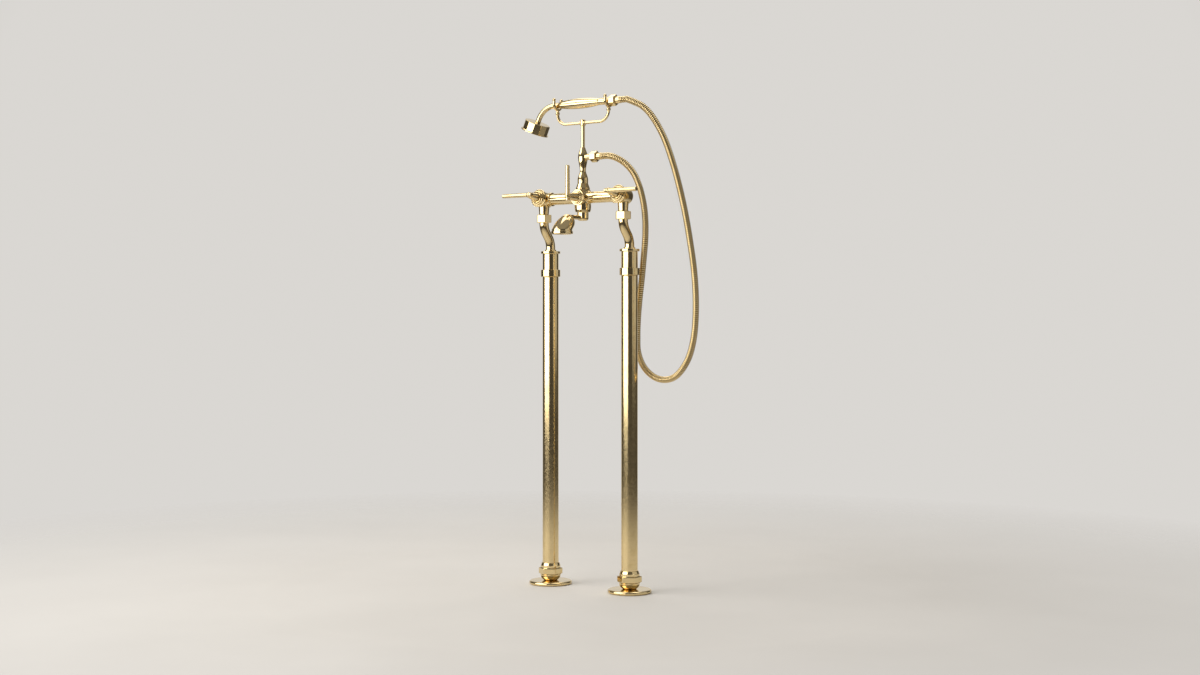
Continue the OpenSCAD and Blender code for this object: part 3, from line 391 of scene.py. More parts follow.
class NodeSketch:
    """A material's node tree, with a short way to add and join nodes."""

    def __init__(self, tree: bpy.types.NodeTree) -> None:
        """Starts with an empty tree.

        Args:
            tree: Tree to draw in.
        """
        self.tree = tree
        tree.nodes.clear()

    def add(self, kind: str, inputs: dict[str, object] | None = None, **settings: object) -> bpy.types.Node:
        """Adds a node, sets its properties and fills or joins its inputs.

        Args:
            kind: Type name of the node.
            inputs: Values or output sockets by the input's name or number.
            **settings: Properties of the node.

        Returns:
            The node.
        """
        node = self.tree.nodes.new(kind)
        for name, value in settings.items():
            setattr(node, name, value)
        for name, value in (inputs or {}).items():
            if isinstance(value, bpy.types.NodeSocket):
                self.tree.links.new(value, node.inputs[name])
            else:
                node.inputs[name].default_value = value
        return node

    def ramp(self, factor: bpy.types.NodeSocket,
             stops: list[tuple[float, tuple[float, ...]]]) -> bpy.types.NodeSocket:
        """Colour ramp over a factor.

        Args:
            factor: Socket that drives the ramp.
            stops: Places and colours, the first and last being the ramp's ends.

        Returns:
            The ramp's colour socket.
        """
        node = self.add("ShaderNodeValToRGB", {"Fac": factor})
        elements = node.color_ramp.elements
        for place, _ in stops[1:-1]:
            elements.new(place)
        for element, (place, colour) in zip(elements, stops):
            element.position = place
            element.color = (*colour, 1.0)
        return node.outputs["Color"]

    def range(self, value: bpy.types.NodeSocket, low: float, high: float, to_low: float,
              to_high: float) -> bpy.types.NodeSocket:
        """Value mapped in a straight line from one range to another, and held at the ends.

        Args:
            value: Socket to map.
            low: Value that gives to_low.
            high: Value that gives to_high.
            to_low: Result at the lower end.
            to_high: Result at the upper end.

        Returns:
            The result's socket.
        """
        node = self.add("ShaderNodeMapRange", {"Value": value, "From Min": low, "From Max": high,
                                               "To Min": to_low, "To Max": to_high})
        return node.outputs["Result"]


@dataclass(frozen=True)
class BrassFinish:
    """Bare brass: buffed or drawn, with faint tool lines, hand haze, browner patches and painted shade in
    grooves.
    """

    name: str
    bright: tuple[float, float, float] = (0.83, 0.66, 0.36)
    aged: tuple[float, float, float] = (0.72, 0.55, 0.27)
    # Colour of the painted shade at the bottom of a groove, mixed in by the groove's depth
    shaded: tuple[float, float, float] = (0.30, 0.20, 0.08)
    roughness: tuple[float, float] = (0.06, 0.13)
    line_pitch: float = 0.0006
    line_depth: float = 0.006
    painted_groove_shade: bool = False

    def make(self) -> bpy.types.Material:
        """Builds the material: patches and haze on Object coordinates, tool lines on the profile's distance.

        Returns:
            The material.
        """
        material = bpy.data.materials.new(self.name)
        material.use_nodes = True
        sketch = NodeSketch(material.node_tree)
        place = sketch.add("ShaderNodeTexCoord").outputs["Object"]
        patches = sketch.add("ShaderNodeTexNoise", {
            "Vector": place, "Scale": 34.0, "Detail": 5.0, "Roughness": 0.6})
        haze = sketch.add("ShaderNodeTexNoise", {
            "Vector": place, "Scale": 210.0, "Detail": 6.0, "Roughness": 0.65})
        along = sketch.add("ShaderNodeAttribute", attribute_name="along").outputs["Fac"]
        step = sketch.add("ShaderNodeMath", {0: along, 1: 1 / self.line_pitch}, operation="MULTIPLY")
        lines = sketch.add("ShaderNodeTexNoise", {"W": step.outputs["Value"], "Scale": 1.0, "Detail": 2.0},
                           noise_dimensions="1D")
        tone = sketch.ramp(patches.outputs["Fac"], [
            (0.36, self.bright), (0.52, self.bright), (0.72, self.aged)])
        # Painted shade: the tone darkens towards the shaded colour as the groove deepens
        if self.painted_groove_shade:
            depth = sketch.add("ShaderNodeAttribute", attribute_name="groove").outputs["Fac"]
            tone = sketch.add("ShaderNodeMix", {"Factor": depth, "A": tone, "B": (*self.shaded, 1.0)},
                              data_type="RGBA").outputs["Result"]
        gloss = sketch.range(haze.outputs["Fac"], 0.3, 0.75, *self.roughness)
        bump = sketch.add("ShaderNodeBump", {"Height": lines.outputs["Fac"], "Strength": self.line_depth,
                                             "Distance": 0.0004})
        shader = sketch.add("ShaderNodeBsdfPrincipled", {
            "Base Color": tone, "Metallic": 1.0, "Roughness": gloss, "Normal": bump.outputs["Normal"]})
        sketch.add("ShaderNodeOutputMaterial", {"Surface": shader.outputs["BSDF"]})
        return material


@dataclass(frozen=True)
class MouldedFinish:
    """Rubber, ceramic or plastic: a mottled colour with a fine grain."""

    name: str
    light: tuple[float, float, float]
    dark: tuple[float, float, float]
    roughness: tuple[float, float]
    grain: float

    def make(self) -> bpy.types.Material:
        """Builds the material from two noises on Object coordinates: one for tone, one for grain and gloss.

        Returns:
            The material.
        """
        material = bpy.data.materials.new(self.name)
        material.use_nodes = True
        sketch = NodeSketch(material.node_tree)
        place = sketch.add("ShaderNodeTexCoord").outputs["Object"]
        mottle = sketch.add("ShaderNodeTexNoise", {"Vector": place, "Scale": 90.0, "Detail": 4.0})
        grain = sketch.add("ShaderNodeTexNoise", {"Vector": place, "Scale": 1400.0, "Detail": 3.0})
        tone = sketch.ramp(mottle.outputs["Fac"], [(0.3, self.dark), (0.7, self.light)])
        bump = sketch.add("ShaderNodeBump", {"Height": grain.outputs["Fac"], "Strength": self.grain,
                                             "Distance": 0.0003})
        shader = sketch.add("ShaderNodeBsdfPrincipled", {
            "Base Color": tone, "Roughness": sketch.range(grain.outputs["Fac"], 0.3, 0.7, *self.roughness),
            "Normal": bump.outputs["Normal"]})
        sketch.add("ShaderNodeOutputMaterial", {"Surface": shader.outputs["BSDF"]})
        return material


@dataclass
class FinishStore:
    """All finishes of the object, each made once."""

    buffed: bpy.types.Material = field(init=False)
    drawn: bpy.types.Material = field(init=False)
    ribbed: bpy.types.Material = field(init=False)
    by_slot: dict[str, bpy.types.Material] = field(init=False)

    def __post_init__(self) -> None:
        """Makes the materials."""
        self.buffed = BrassFinish("buffed_brass").make()
        self.drawn = BrassFinish("drawn_brass", roughness=(0.11, 0.22), line_pitch=0.004,
                                 line_depth=0.012).make()
        # The hose's finish paints shade into its grooves
        self.ribbed = BrassFinish("ribbed_brass", roughness=(0.10, 0.20), line_depth=0.0, painted_groove_shade=True).make()
        rubber = MouldedFinish("seal_rubber", (0.045, 0.043, 0.04), (0.02, 0.02, 0.02), (0.55, 0.8), 0.25)
        ceramic = MouldedFinish("valve_ceramic", (0.9, 0.89, 0.85), (0.82, 0.81, 0.78), (0.2, 0.32), 0.05)
        plastic = MouldedFinish("white_plastic", (0.82, 0.82, 0.8), (0.74, 0.74, 0.72), (0.35, 0.5), 0.12)
        self.by_slot = {
            Slot.BRASS.value: self.buffed, Slot.RUBBER.value: rubber.make(),
            Slot.CERAMIC.value: ceramic.make(), Slot.PLASTIC.value: plastic.make(),
        }


@dataclass
class Workshop:
    """Makes pieces from surfaces, gives them their finish and joins them to the frame."""

    frame: dict
    finishes: FinishStore

    def piece(self, name: str, shell: Shell, material: bpy.types.Material, nodes: list[str],
              body: str | None = "stand") -> bpy.types.Object:
        """Puts a surface in the scene as a piece that stands for CAD nodes.

        Args:
            name: Name of the piece.
            shell: Surface in millimetres.
            material: Finish of the piece.
            nodes: CAD nodes that it replaces.
            body: Body that it rides on, or None to leave it on no body.

        Returns:
            The object.
        """
        mesh = bpy.data.meshes.new(name)
        mesh.from_pydata((shell.points * MM).tolist(), [], shell.faces)
        mesh.shade_smooth()
        marks = mesh.attributes.new("along", "FLOAT", "POINT")
        marks.data.foreach_set("value", (shell.along * MM).astype(np.float32))
        mesh.materials.append(material)
        piece = bpy.data.objects.new(name, mesh)
        bpy.context.scene.collection.objects.link(piece)
        if body is not None:
            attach(piece, body)
        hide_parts(*nodes)
        LOG.info("%s: %d points, replaces %s", name, len(shell.points), ", ".join(nodes))
        return piece

    def dress_frame(self) -> None:
        """Gives each CAD node the finish of its material slot."""
        for part in self.frame["record"]["subparts"]:
            node = self.frame["nodes"][part["node"]]
            node.data.materials.clear()
            node.data.materials.append(self.finishes.by_slot[part["material_slot"]])
            LOG.info("%s: CAD node in %s", part["node"], part["material_slot"])


# Sub-assemblies


@dataclass
class Standpipe:
    """One leg: floor flange, base nut, cover tube, collar, top sleeve, swan neck and union nut."""

    shop: Workshop
    side: Side
    pipe_r: float = 10.1
    flange_r: float = 40.0
    flange_h: float = 7.0
    plate_r: float = 34.0
    plate_h: float = 5.0
    nut_flat: float = 19.5
    bowl_r: float = 12.95
    bowl_sweep: float = 62.5
    hex_z: float = 18.5
    ring_z: float = 31.0
    ring_r: float = 18.5
    cone_z: float = 35.0
    cone_r: float = 16.5
    nut_top: float = 40.0
    seal_z: float = 15.0
    cover_r: float = 15.0
    cover_foot: float = 20.0
    bore_r: float = 13.0
    collar: tuple[float, float] = (573.5, 586.5)
    rim_r: float = 18.25
    rim_t: float = 4.5
    sleeve_l: float = 30.0
    seat_t: float = 3.0
    neck_r: float = 8.75
    neck_foot: float = 6.4
    bend_r: float = 30.0
    bend_a: float = 40.0
    neck_ring_r: float = 10.75
    neck_ring_h: float = 3.0
    neck_tail_r: float = 6.9
    neck_tail: tuple[float, float] = (593.0, 619.0)
    neck_lip_r: float = 10.4
    neck_lip_t: float = 2.5
    union_flat: float = 13.0
    union_bore_r: float = 10.6
    union_floor: float = 2.0
    union_turn: float = 45.0

    @property
    def x(self) -> float:
        """X of the leg's axis."""
        return self.side.value * LEG_X

    @property
    def word(self) -> str:
        """The side's name, as the nodes spell it."""
        return self.side.name.lower()

    @property
    def lathe(self) -> Lathe:
        """Lathe about the leg's axis, from the floor."""
        return Lathe((self.x, 0.0, 0.0))

    @property
    def neck_hole_r(self) -> float:
        """Radius of the holes that the swan neck passes through."""
        return self.neck_r + SLIDE_GAP

    def build(self) -> None:
        """Makes every visible piece of the leg."""
        self.flange()
        self.base_nut()
        self.cover()
        self.neck()
        self.union_nut()

    def add(self, name: str, shell: Shell, node: str, material: bpy.types.Material | None = None) -> None:
        """Puts one surface of this side in the scene, in buffed brass unless another finish is given."""
        finish = material or self.shop.finishes.buffed
        self.shop.piece(f"{self.word}_{name}", shell, finish, [f"{self.word}_{node}"])

    def flange(self) -> None:
        """Round floor flange with a half round edge, hollow below for the floor plate."""
        edge_r = self.flange_h / 2
        edge = arc((self.flange_r - edge_r, edge_r), (edge_r, 0), (0, edge_r), (-90, 90))
        inner = self.flange_r - edge_r - 0.5
        inside = rounded([
            (inner, self.flange_h), (self.pipe_r, self.flange_h), (self.pipe_r, self.plate_h),
            (self.plate_r, self.plate_h), (self.plate_r, 0), (inner, 0)
        ], radius=0.3)
        self.add("flange_turned", self.lathe.shell(np.concatenate([inside, edge]), ring=True), "floor_flange")

    def base_nut(self) -> None:
        """Base nut: a bowl as an arc, then a hexagon, a ring and a cone, one on the other."""
        flat, slide_r = self.nut_flat, self.cover_r + SLIDE_GAP
        bowl = arc((flat - 0.5 - self.bowl_r, self.hex_z), (self.bowl_r, 0), (0, -self.bowl_r),
                   (self.bowl_sweep, 0), 12)
        bowl = np.concatenate([bowl, np.zeros((len(bowl), 1))], axis=1)
        upper = rounded([
            tuple(bowl[-1]), *milled_flats(flat, self.hex_z + 0.2, self.ring_z, 0.1, (1.0, 1.8)),
            (self.ring_r + 0.2, self.ring_z, 0), (self.ring_r, self.ring_z + 0.4, 0),
            (self.ring_r, self.cone_z - 0.2, 0), (self.ring_r - 0.6, self.cone_z + 0.2, 0),
            (self.cone_r, self.nut_top, 0), (slide_r, self.nut_top, 0), (slide_r, self.seal_z, 0),
            (self.pipe_r, self.seal_z, 0), (self.pipe_r, self.flange_h, 0)
        ], radius=0.4)
        lathe = replace(self.lathe, columns=120)
        self.add("base_nut_milled", lathe.shell(np.concatenate([bowl[:-1], upper]), ring=True), "base_nut")

    def cover(self) -> None:
        """Drawn tube, sliding collar, and the sleeve whose flange closes the leg."""
        bottom, top = self.collar
        joint = (bottom + top) / 2
        heights = np.linspace(self.cover_foot, joint, 60)
        outside = np.stack([np.full_like(heights, self.cover_r), heights], axis=1)
        inside = np.array([[self.bore_r, joint], [self.bore_r, self.cover_foot]])
        self.add("cover_drawn", self.lathe.shell(np.concatenate([outside, inside]), ring=True), "leg_cover",
                 self.shop.finishes.drawn)
        slide_r, plug_r = self.cover_r + SLIDE_GAP, self.bore_r - SLIDE_GAP
        band = rounded([
            (slide_r, bottom), (self.rim_r, bottom), (self.rim_r, top), (slide_r, top)
        ], radius=0.8, closed=True)
        self.add("collar_turned", self.lathe.shell(band, ring=True), "collar")
        low, rim, seat = joint - self.sleeve_l, LEG_TOP - self.rim_t, LEG_TOP - self.seat_t
        sleeve = rounded([
            (self.pipe_r, low), (plug_r, low), (plug_r, joint), (self.cover_r, joint), (self.cover_r, rim),
            (self.rim_r, rim), (self.rim_r, LEG_TOP), (self.neck_hole_r, LEG_TOP), (self.neck_hole_r, seat),
            (self.pipe_r, seat)
        ], radius=0.7, closed=True)
        self.add("sleeve_turned", self.lathe.shell(sleeve, ring=True), "top_sleeve")

    def neck(self) -> None:
        """Swan neck: up, forward through two equal bends, and up into the union nut."""
        start, lip = LEG_TOP + self.neck_foot, UNION_Z + self.union_floor
        lower = arc((self.x, -self.bend_r, start), (0, self.bend_r, 0), (0, 0, self.bend_r), (0, self.bend_a))
        upper = arc((self.x, BODY_Y + self.bend_r, UNION_Z), (0, -self.bend_r, 0), (0, 0, -self.bend_r),
                    (self.bend_a, 0))
        foot, top = [[self.x, 0, LEG_TOP - self.seat_t]], [[self.x, BODY_Y, lip + self.neck_lip_t]]
        tube = swept(np.concatenate([foot, lower, upper, top]), self.neck_r, (1, 0, 0))
        ring = Lathe((self.x, 0, LEG_TOP)).shell(bar_profile(self.neck_ring_r, 0, self.neck_ring_h, 0.8))
        tail = self.lathe.shell(bar_profile(self.neck_tail_r, *self.neck_tail, 0.5))
        collar = Lathe((self.x, BODY_Y, lip)).shell(bar_profile(self.neck_lip_r, 0, self.neck_lip_t))
        self.add("swan_neck_bent", Shell.join([tube, ring, tail, collar]), "swan_neck")

    def union_nut(self) -> None:
        """Hexagonal nut round the swan neck's lip, open above for the body's tail."""
        flat, hole_r, bore_r, floor = self.union_flat, self.neck_hole_r, self.union_bore_r, self.union_floor
        nut = rounded([
            (hole_r, 0, 0), (flat - 0.7, 0, 0), *milled_flats(flat, 0, UNION_H, 0.05, (1.1, 1.6)),
            (flat - 0.7, UNION_H, 0), (bore_r, UNION_H, 0), (bore_r, floor, 0), (hole_r, floor, 0)
        ], radius=0.35, closed=True)
        lathe = Lathe((self.x, BODY_Y, UNION_Z), turn=self.union_turn, columns=120)
        self.add("union_nut_milled", lathe.shell(nut, ring=True), "union_nut")


@dataclass
class MixerBody:
    """The cast body: bar, three valve housings, centre body and the two tails."""

    shop: Workshop
    bar_r: float = 10.75
    ring_r: float = 12.75
    ring_x: float = 73.5
    ring_half: float = 4.0
    housing_r: float = 14.5
    housing_back: float = 15.0
    housing_front: float = 14.25
    back_r: float = 5.8
    spigot_r: float = 11.5
    spigot_end: float = 17.2
    shoulder_r: float = 13.0
    vase_r: float = 15.25
    belly_h: float = 18.0
    waist_r: float = 14.75
    waist_h: float = 22.5
    step_r: float = 13.4
    step_h: float = 26.5
    foot_r: float = 10.5
    foot_h: float = 42.2
    foot_round: float = 5.0
    riser_thread_r: float = 8.0
    riser_thread: tuple[float, float] = (-1.0, 8.0)
    tail_r: tuple[float, float] = (9.0, 10.5)
    tail_l: float = 20.25
    tail_thread_l: float = 9.5
    fillet: float = 2.5

    def build(self) -> None:
        """Makes the body as one piece."""
        shells = [self.bar(), self.vase()]
        shells += [self.housing(x) for x in (-LEG_X, 0.0, LEG_X)]
        for side in Side:
            shells += [self.bar_ring(side), self.tail(side), self.fillet_ring(side)]
        self.shop.piece("mixer_body_cast", Shell.join(shells), self.shop.finishes.buffed, ["mixer_body"])

    def bar(self) -> Shell:
        """Round bar through all three housings."""
        lathe = Lathe((-LEG_X, BODY_Y, BAR_Z), Axis.RIGHT.value)
        return lathe.shell(bar_profile(self.bar_r, 0, 2 * LEG_X, 0.5))

    def bar_ring(self, side: Side) -> Shell:
        """Rounded ring where the bar meets an outer housing."""
        lathe = Lathe((side.value * self.ring_x, BODY_Y, BAR_Z), Axis.RIGHT.value)
        return lathe.shell(bar_profile(self.ring_r, -self.ring_half, self.ring_half, 1.0))

    def housing(self, x: float) -> Shell:
        """Round housing with a domed back and a spigot under the bonnet.

        Args:
            x: Place of the valve along the bar.

        Returns:
            The surface.
        """
        lathe = Lathe((x, BODY_Y, BAR_Z), valve_axis(VALVE_TILT if x else 0.0))
        rim = self.back_r - self.housing_back
        back = arc((self.housing_r - self.back_r, rim), (self.back_r, 0), (0, self.back_r), (-90, 0), 10)
        front = rounded([
            (self.housing_r, rim + 1.2), (self.housing_r, self.housing_front),
            (self.spigot_r, self.housing_front), (self.spigot_r, self.spigot_end), (0, self.spigot_end)
        ], radius=0.4)
        return lathe.shell(np.concatenate([[[0, -self.housing_back]], back, front]))

    def vase(self) -> Shell:
        """Centre body: a shoulder above, a belly that draws in to a step, and a foot with a rounded end.

        Returns:
            The surface, with the thread that carries the riser.
        """
        end_r = self.foot_round
        foot_edge = end_r - self.foot_h
        upper = rounded([
            (0, SHOULDER_H), (self.shoulder_r, SHOULDER_H), (self.vase_r, SHOULDER_H / 2),
            (self.vase_r, -self.belly_h), (self.waist_r, -self.waist_h), (self.step_r, -self.step_h),
            (self.foot_r, -self.step_h), (self.foot_r, foot_edge)
        ], radius=0.9)
        end = arc((self.foot_r - end_r, foot_edge), (end_r, 0), (0, -end_r), (0, 90), 10)
        outline = np.concatenate([upper[:-1], end, [[0, -self.foot_h]]])
        thread = Lathe((0, BODY_Y, RISER_Z)).shell(bar_profile(self.riser_thread_r, *self.riser_thread))
        return Shell.join([Lathe((0, BODY_Y, BAR_Z)).shell(outline), thread])

    def tail(self, side: Side) -> Shell:
        """Tapered tail between a union nut and its housing, with the thread inside the nut.

        Args:
            side: The leg that it meets.

        Returns:
            The surface.
        """
        low_r, high_r = self.tail_r
        profile = rounded([
            (0, -self.tail_thread_l), (high_r, -self.tail_thread_l), (high_r, 0), (low_r, 0),
            (high_r, self.tail_l), (0, self.tail_l)
        ], radius=0.3)
        return Lathe((side.value * LEG_X, BODY_Y, UNION_Z + UNION_H)).shell(profile)

    def fillet_ring(self, side: Side) -> Shell:
        """Cast fillet where the bar enters the centre body.

        At each angle a round the bar a curve with two end points and one pull point runs from the bar, a
        fillet's length outside the centre body, past the pull point on the seam to the centre body, a
        fillet's length above the bar. A last row inside the metal closes the ring.

        Args:
            side: The side of the centre body.

        Returns:
            The surface.
        """
        a = 2 * np.pi * np.arange(96) / 96

        def on_seam(radius: float, out: float) -> Array:
            """Points on a circle round the bar's axis, each pushed out to the centre body's wall.

            Args:
                radius: Radius of the circle.
                out: Distance outside the wall.

            Returns:
                The points, one row each.
            """
            y, z = radius * np.cos(a), radius * np.sin(a)
            x = np.sqrt(np.clip(self.vase_r**2 - y**2, 0, None)) + out
            return np.stack([side.value * x, BODY_Y + y, BAR_Z + z], axis=1)

        start, pull = on_seam(self.bar_r, self.fillet), on_seam(self.bar_r, 0)
        end = on_seam(self.bar_r + self.fillet, 0)
        t = np.linspace(0, 1, 9)[:, None, None]
        curve = (1 - t) ** 2 * start + 2 * t * (1 - t) * pull + t**2 * end
        grid = np.concatenate([curve, on_seam(self.bar_r - 1, -1)[None]])
        return Shell.from_grid(grid, np.linspace(0, 6, len(grid)), ring=True)


@dataclass
class Valve:
    """One lever valve: stepped bonnet, tapered hub and rod of the lever, and the grub screw in the hub."""

    shop: Workshop
    word: str
    x: float
    point: tuple[float, float, float]
    bonnet_r: float = 16.6
    step: float = 4.0
    lever_l: float = 61.0
    tilt: float = VALVE_TILT
    bonnet_y: float = 14.25
    rim_t: float = 3.5
    step_shares: tuple[float, float] = (0.8, 0.69)
    hole_r: float = 7.1
    socket_r: float = 11.6
    socket_t: float = 3.0
    hub_gap: float = 0.6
    hub_r: float = 8.25
    hub_tip_r: float = 5.0
    hub_edge: tuple[float, float] = (0.2, 1.6)
    hub_end: float = 1.5
    rod_front: float = 46.5
    rod_r: float = 4.3
    tip_r: float = 3.75
    rod_back: float = 7.74
    grub_r: float = 2.5
    grub_y: float = 4.0
    grub_sink: float = 0.8
    grub_socket: float = 2.0

    @property
    def front(self) -> float:
        """Distance of the bonnet's front face before the bar axis."""
        return self.bonnet_y + self.rim_t + 2 * self.step

    @property
    def lathe(self) -> Lathe:
        """Lathe about the valve's axis."""
        return Lathe((self.x, BODY_Y, BAR_Z), valve_axis(self.tilt))

    def at(self, distance: float) -> tuple[float, float, float]:
        """Point on the valve's axis at a distance before the bar axis."""
        return tuple(np.asarray(self.lathe.base) + distance * np.asarray(self.lathe.axis))

    def build(self) -> None:
        """Makes the bonnet on the stand, and the lever and its screw on the handle."""
        self.bonnet()
        self.lever()
        self.grub_screw()

    def add(self, name: str, shell: Shell, node: str, body: str) -> None:
        """Puts one surface of this valve on a body, in buffed brass."""
        nodes = [f"{self.word}_{node}"]
        self.shop.piece(f"{self.word}_{name}", shell, self.shop.finishes.buffed, nodes, body)

    def bonnet(self) -> None:
        """Three turned steps with rounded edges, and a socket behind for the housing's spigot."""
        base, rim = self.bonnet_y, self.bonnet_y + self.rim_t
        middle_r, front_r = (share * self.bonnet_r for share in self.step_shares)
        outline = rounded([
            (self.hole_r, base + self.socket_t), (self.socket_r, base + self.socket_t), (self.socket_r, base),
            (self.bonnet_r, base), (self.bonnet_r, rim), (middle_r, rim), (middle_r, rim + self.step),
            (front_r, rim + self.step), (front_r, self.front), (self.hole_r, self.front)
        ], radius=0.9, closed=True)
        self.add("bonnet_turned", self.lathe.shell(outline, ring=True), "bonnet", "stand")

    def lever(self) -> None:
        """Hub that tapers from the spindle to a ball, and a tapered rod with rounded ends through it."""
        base, tip = self.front + self.hub_gap, self.rod_front + self.hub_end
        inset, edge = self.hub_edge
        hub = self.lathe.shell(rounded([
            (0, base), (self.hub_r, base), (self.hub_r - inset, base + edge), (self.hub_tip_r, tip), (0, tip)
        ], radius=0.8))
        rod = Lathe(self.at(self.rod_front), self.point, columns=64).shell(rounded([
            (0, -self.rod_back), (self.rod_r, -self.rod_back), (self.tip_r, self.lever_l), (0, self.lever_l)
        ], radius=1.3, steps=7))
        knuckle = ball(self.at(self.rod_front), self.hub_tip_r + 0.1)
        self.add("lever_turned", Shell.join([hub, rod, knuckle]), "lever", f"{self.word}_handle")

    def grub_screw(self) -> None:
        """Screw with a hexagonal socket, sunk in the hub below a level lever and beside an upright one."""
        _, ahead, up = self.lathe.axis
        aside = (0.0, -up, ahead) if abs(self.point[0]) > 0.5 else Axis.RIGHT.value
        flat, face = self.grub_r / 2, self.hub_r - self.grub_sink
        floor = face - self.grub_socket
        outline = rounded([
            (0, self.grub_y, 0), (self.grub_r, self.grub_y, 0), (self.grub_r, face, 0), (flat, face, 1),
            (flat, floor, 1), (0, floor, 1)
        ], radius=0.2)
        base = self.at(self.front + self.hub_gap + self.grub_y)
        self.add("grub_screw_socket", Lathe(base, aside, columns=48).shell(outline), "grub_screw",
                 f"{self.word}_handle")


@dataclass
class BellSpout:
    """Spout tube and its bell, whose dome leans back to the tube."""

    shop: Workshop
    tube_z: float = 679.273
    tube_y: float = -24.0
    tube_r: float = 4.15
    tube_l: float = 44.0
    bell_y: float = -83.0
    bell_z: float = 647.023
    bell_r: float = 18.75
    wall: float = 2.2
    lip_r: float = 20.05
    lip_h: float = 5.0
    room_h: float = 6.0
    columns: int = 120
    dome: tuple[tuple[float, float, float], ...] = (
        (18.75, 6.5, 0.0), (18.75, 8.5, 0.4), (18.9, 12.0, 3.0), (18.8, 16.0, 6.2), (17.9, 20.0, 9.0),
        (16.2, 24.0, 11.3), (13.6, 28.0, 13.0), (10.2, 31.6, 14.2), (6.6, 34.4, 14.8), (3.0, 36.2, 15.0),
        (0.0, 36.8, 15.0),
    )

    def build(self) -> None:
        """Makes the spout as one piece."""
        lathe = Lathe((0, self.tube_y, self.tube_z), Axis.FRONT.value, columns=64)
        tube = lathe.shell(bar_profile(self.tube_r, 0, self.tube_l, 0.5))
        spout = Shell.join([tube, self.bell()])
        self.shop.piece("bell_spout_cast", spout, self.shop.finishes.buffed, ["spout"])

    def bell(self) -> Shell:
        """Bell whose wall runs down inside, round the lip and up outside.

        Each row is a level circle of radius r at height h above the rim, moved back by b, so a point lies at
        x = r * sin(a), y = bell + b + r * cos(a) and z = rim + h. The dome's rows lie on a smooth curve
        through its table of r, h and b. Inside it the radius is less by the wall, and the height by the wall
        times the share of the dome's height.

        Returns:
            The surface.
        """
        dome = smooth_line(np.array(self.dome), 6)
        share = np.clip(dome[:, 1] / dome[-1, 1], 0, 1)
        thin = np.stack([np.ones_like(share), share, np.zeros_like(share)], axis=1)
        inside = np.clip(dome - self.wall * thin, 0, None)[::-1]
        inner_r = self.bell_r - self.wall
        lip = rounded([
            (inner_r, self.room_h, 0), (inner_r, 0, 0), (self.lip_r, 0, 0), (self.lip_r, self.lip_h, 0),
            (self.bell_r, self.lip_h, 0), (self.bell_r, self.lip_h + 1, 0)
        ], radius=1.0)
        r, h, b = np.concatenate([inside[inside[:, 1] > self.room_h + 0.2], lip, dome[1:]]).T[:, :, None]
        a = 2 * np.pi * np.arange(self.columns) / self.columns
        x, y, z = r * np.sin(a), self.bell_y + b + r * np.cos(a), self.bell_z + h
        grid = np.stack(np.broadcast_arrays(x, y, z), axis=-1)
        return Shell.from_grid(grid, run_of(grid[:, 0]))


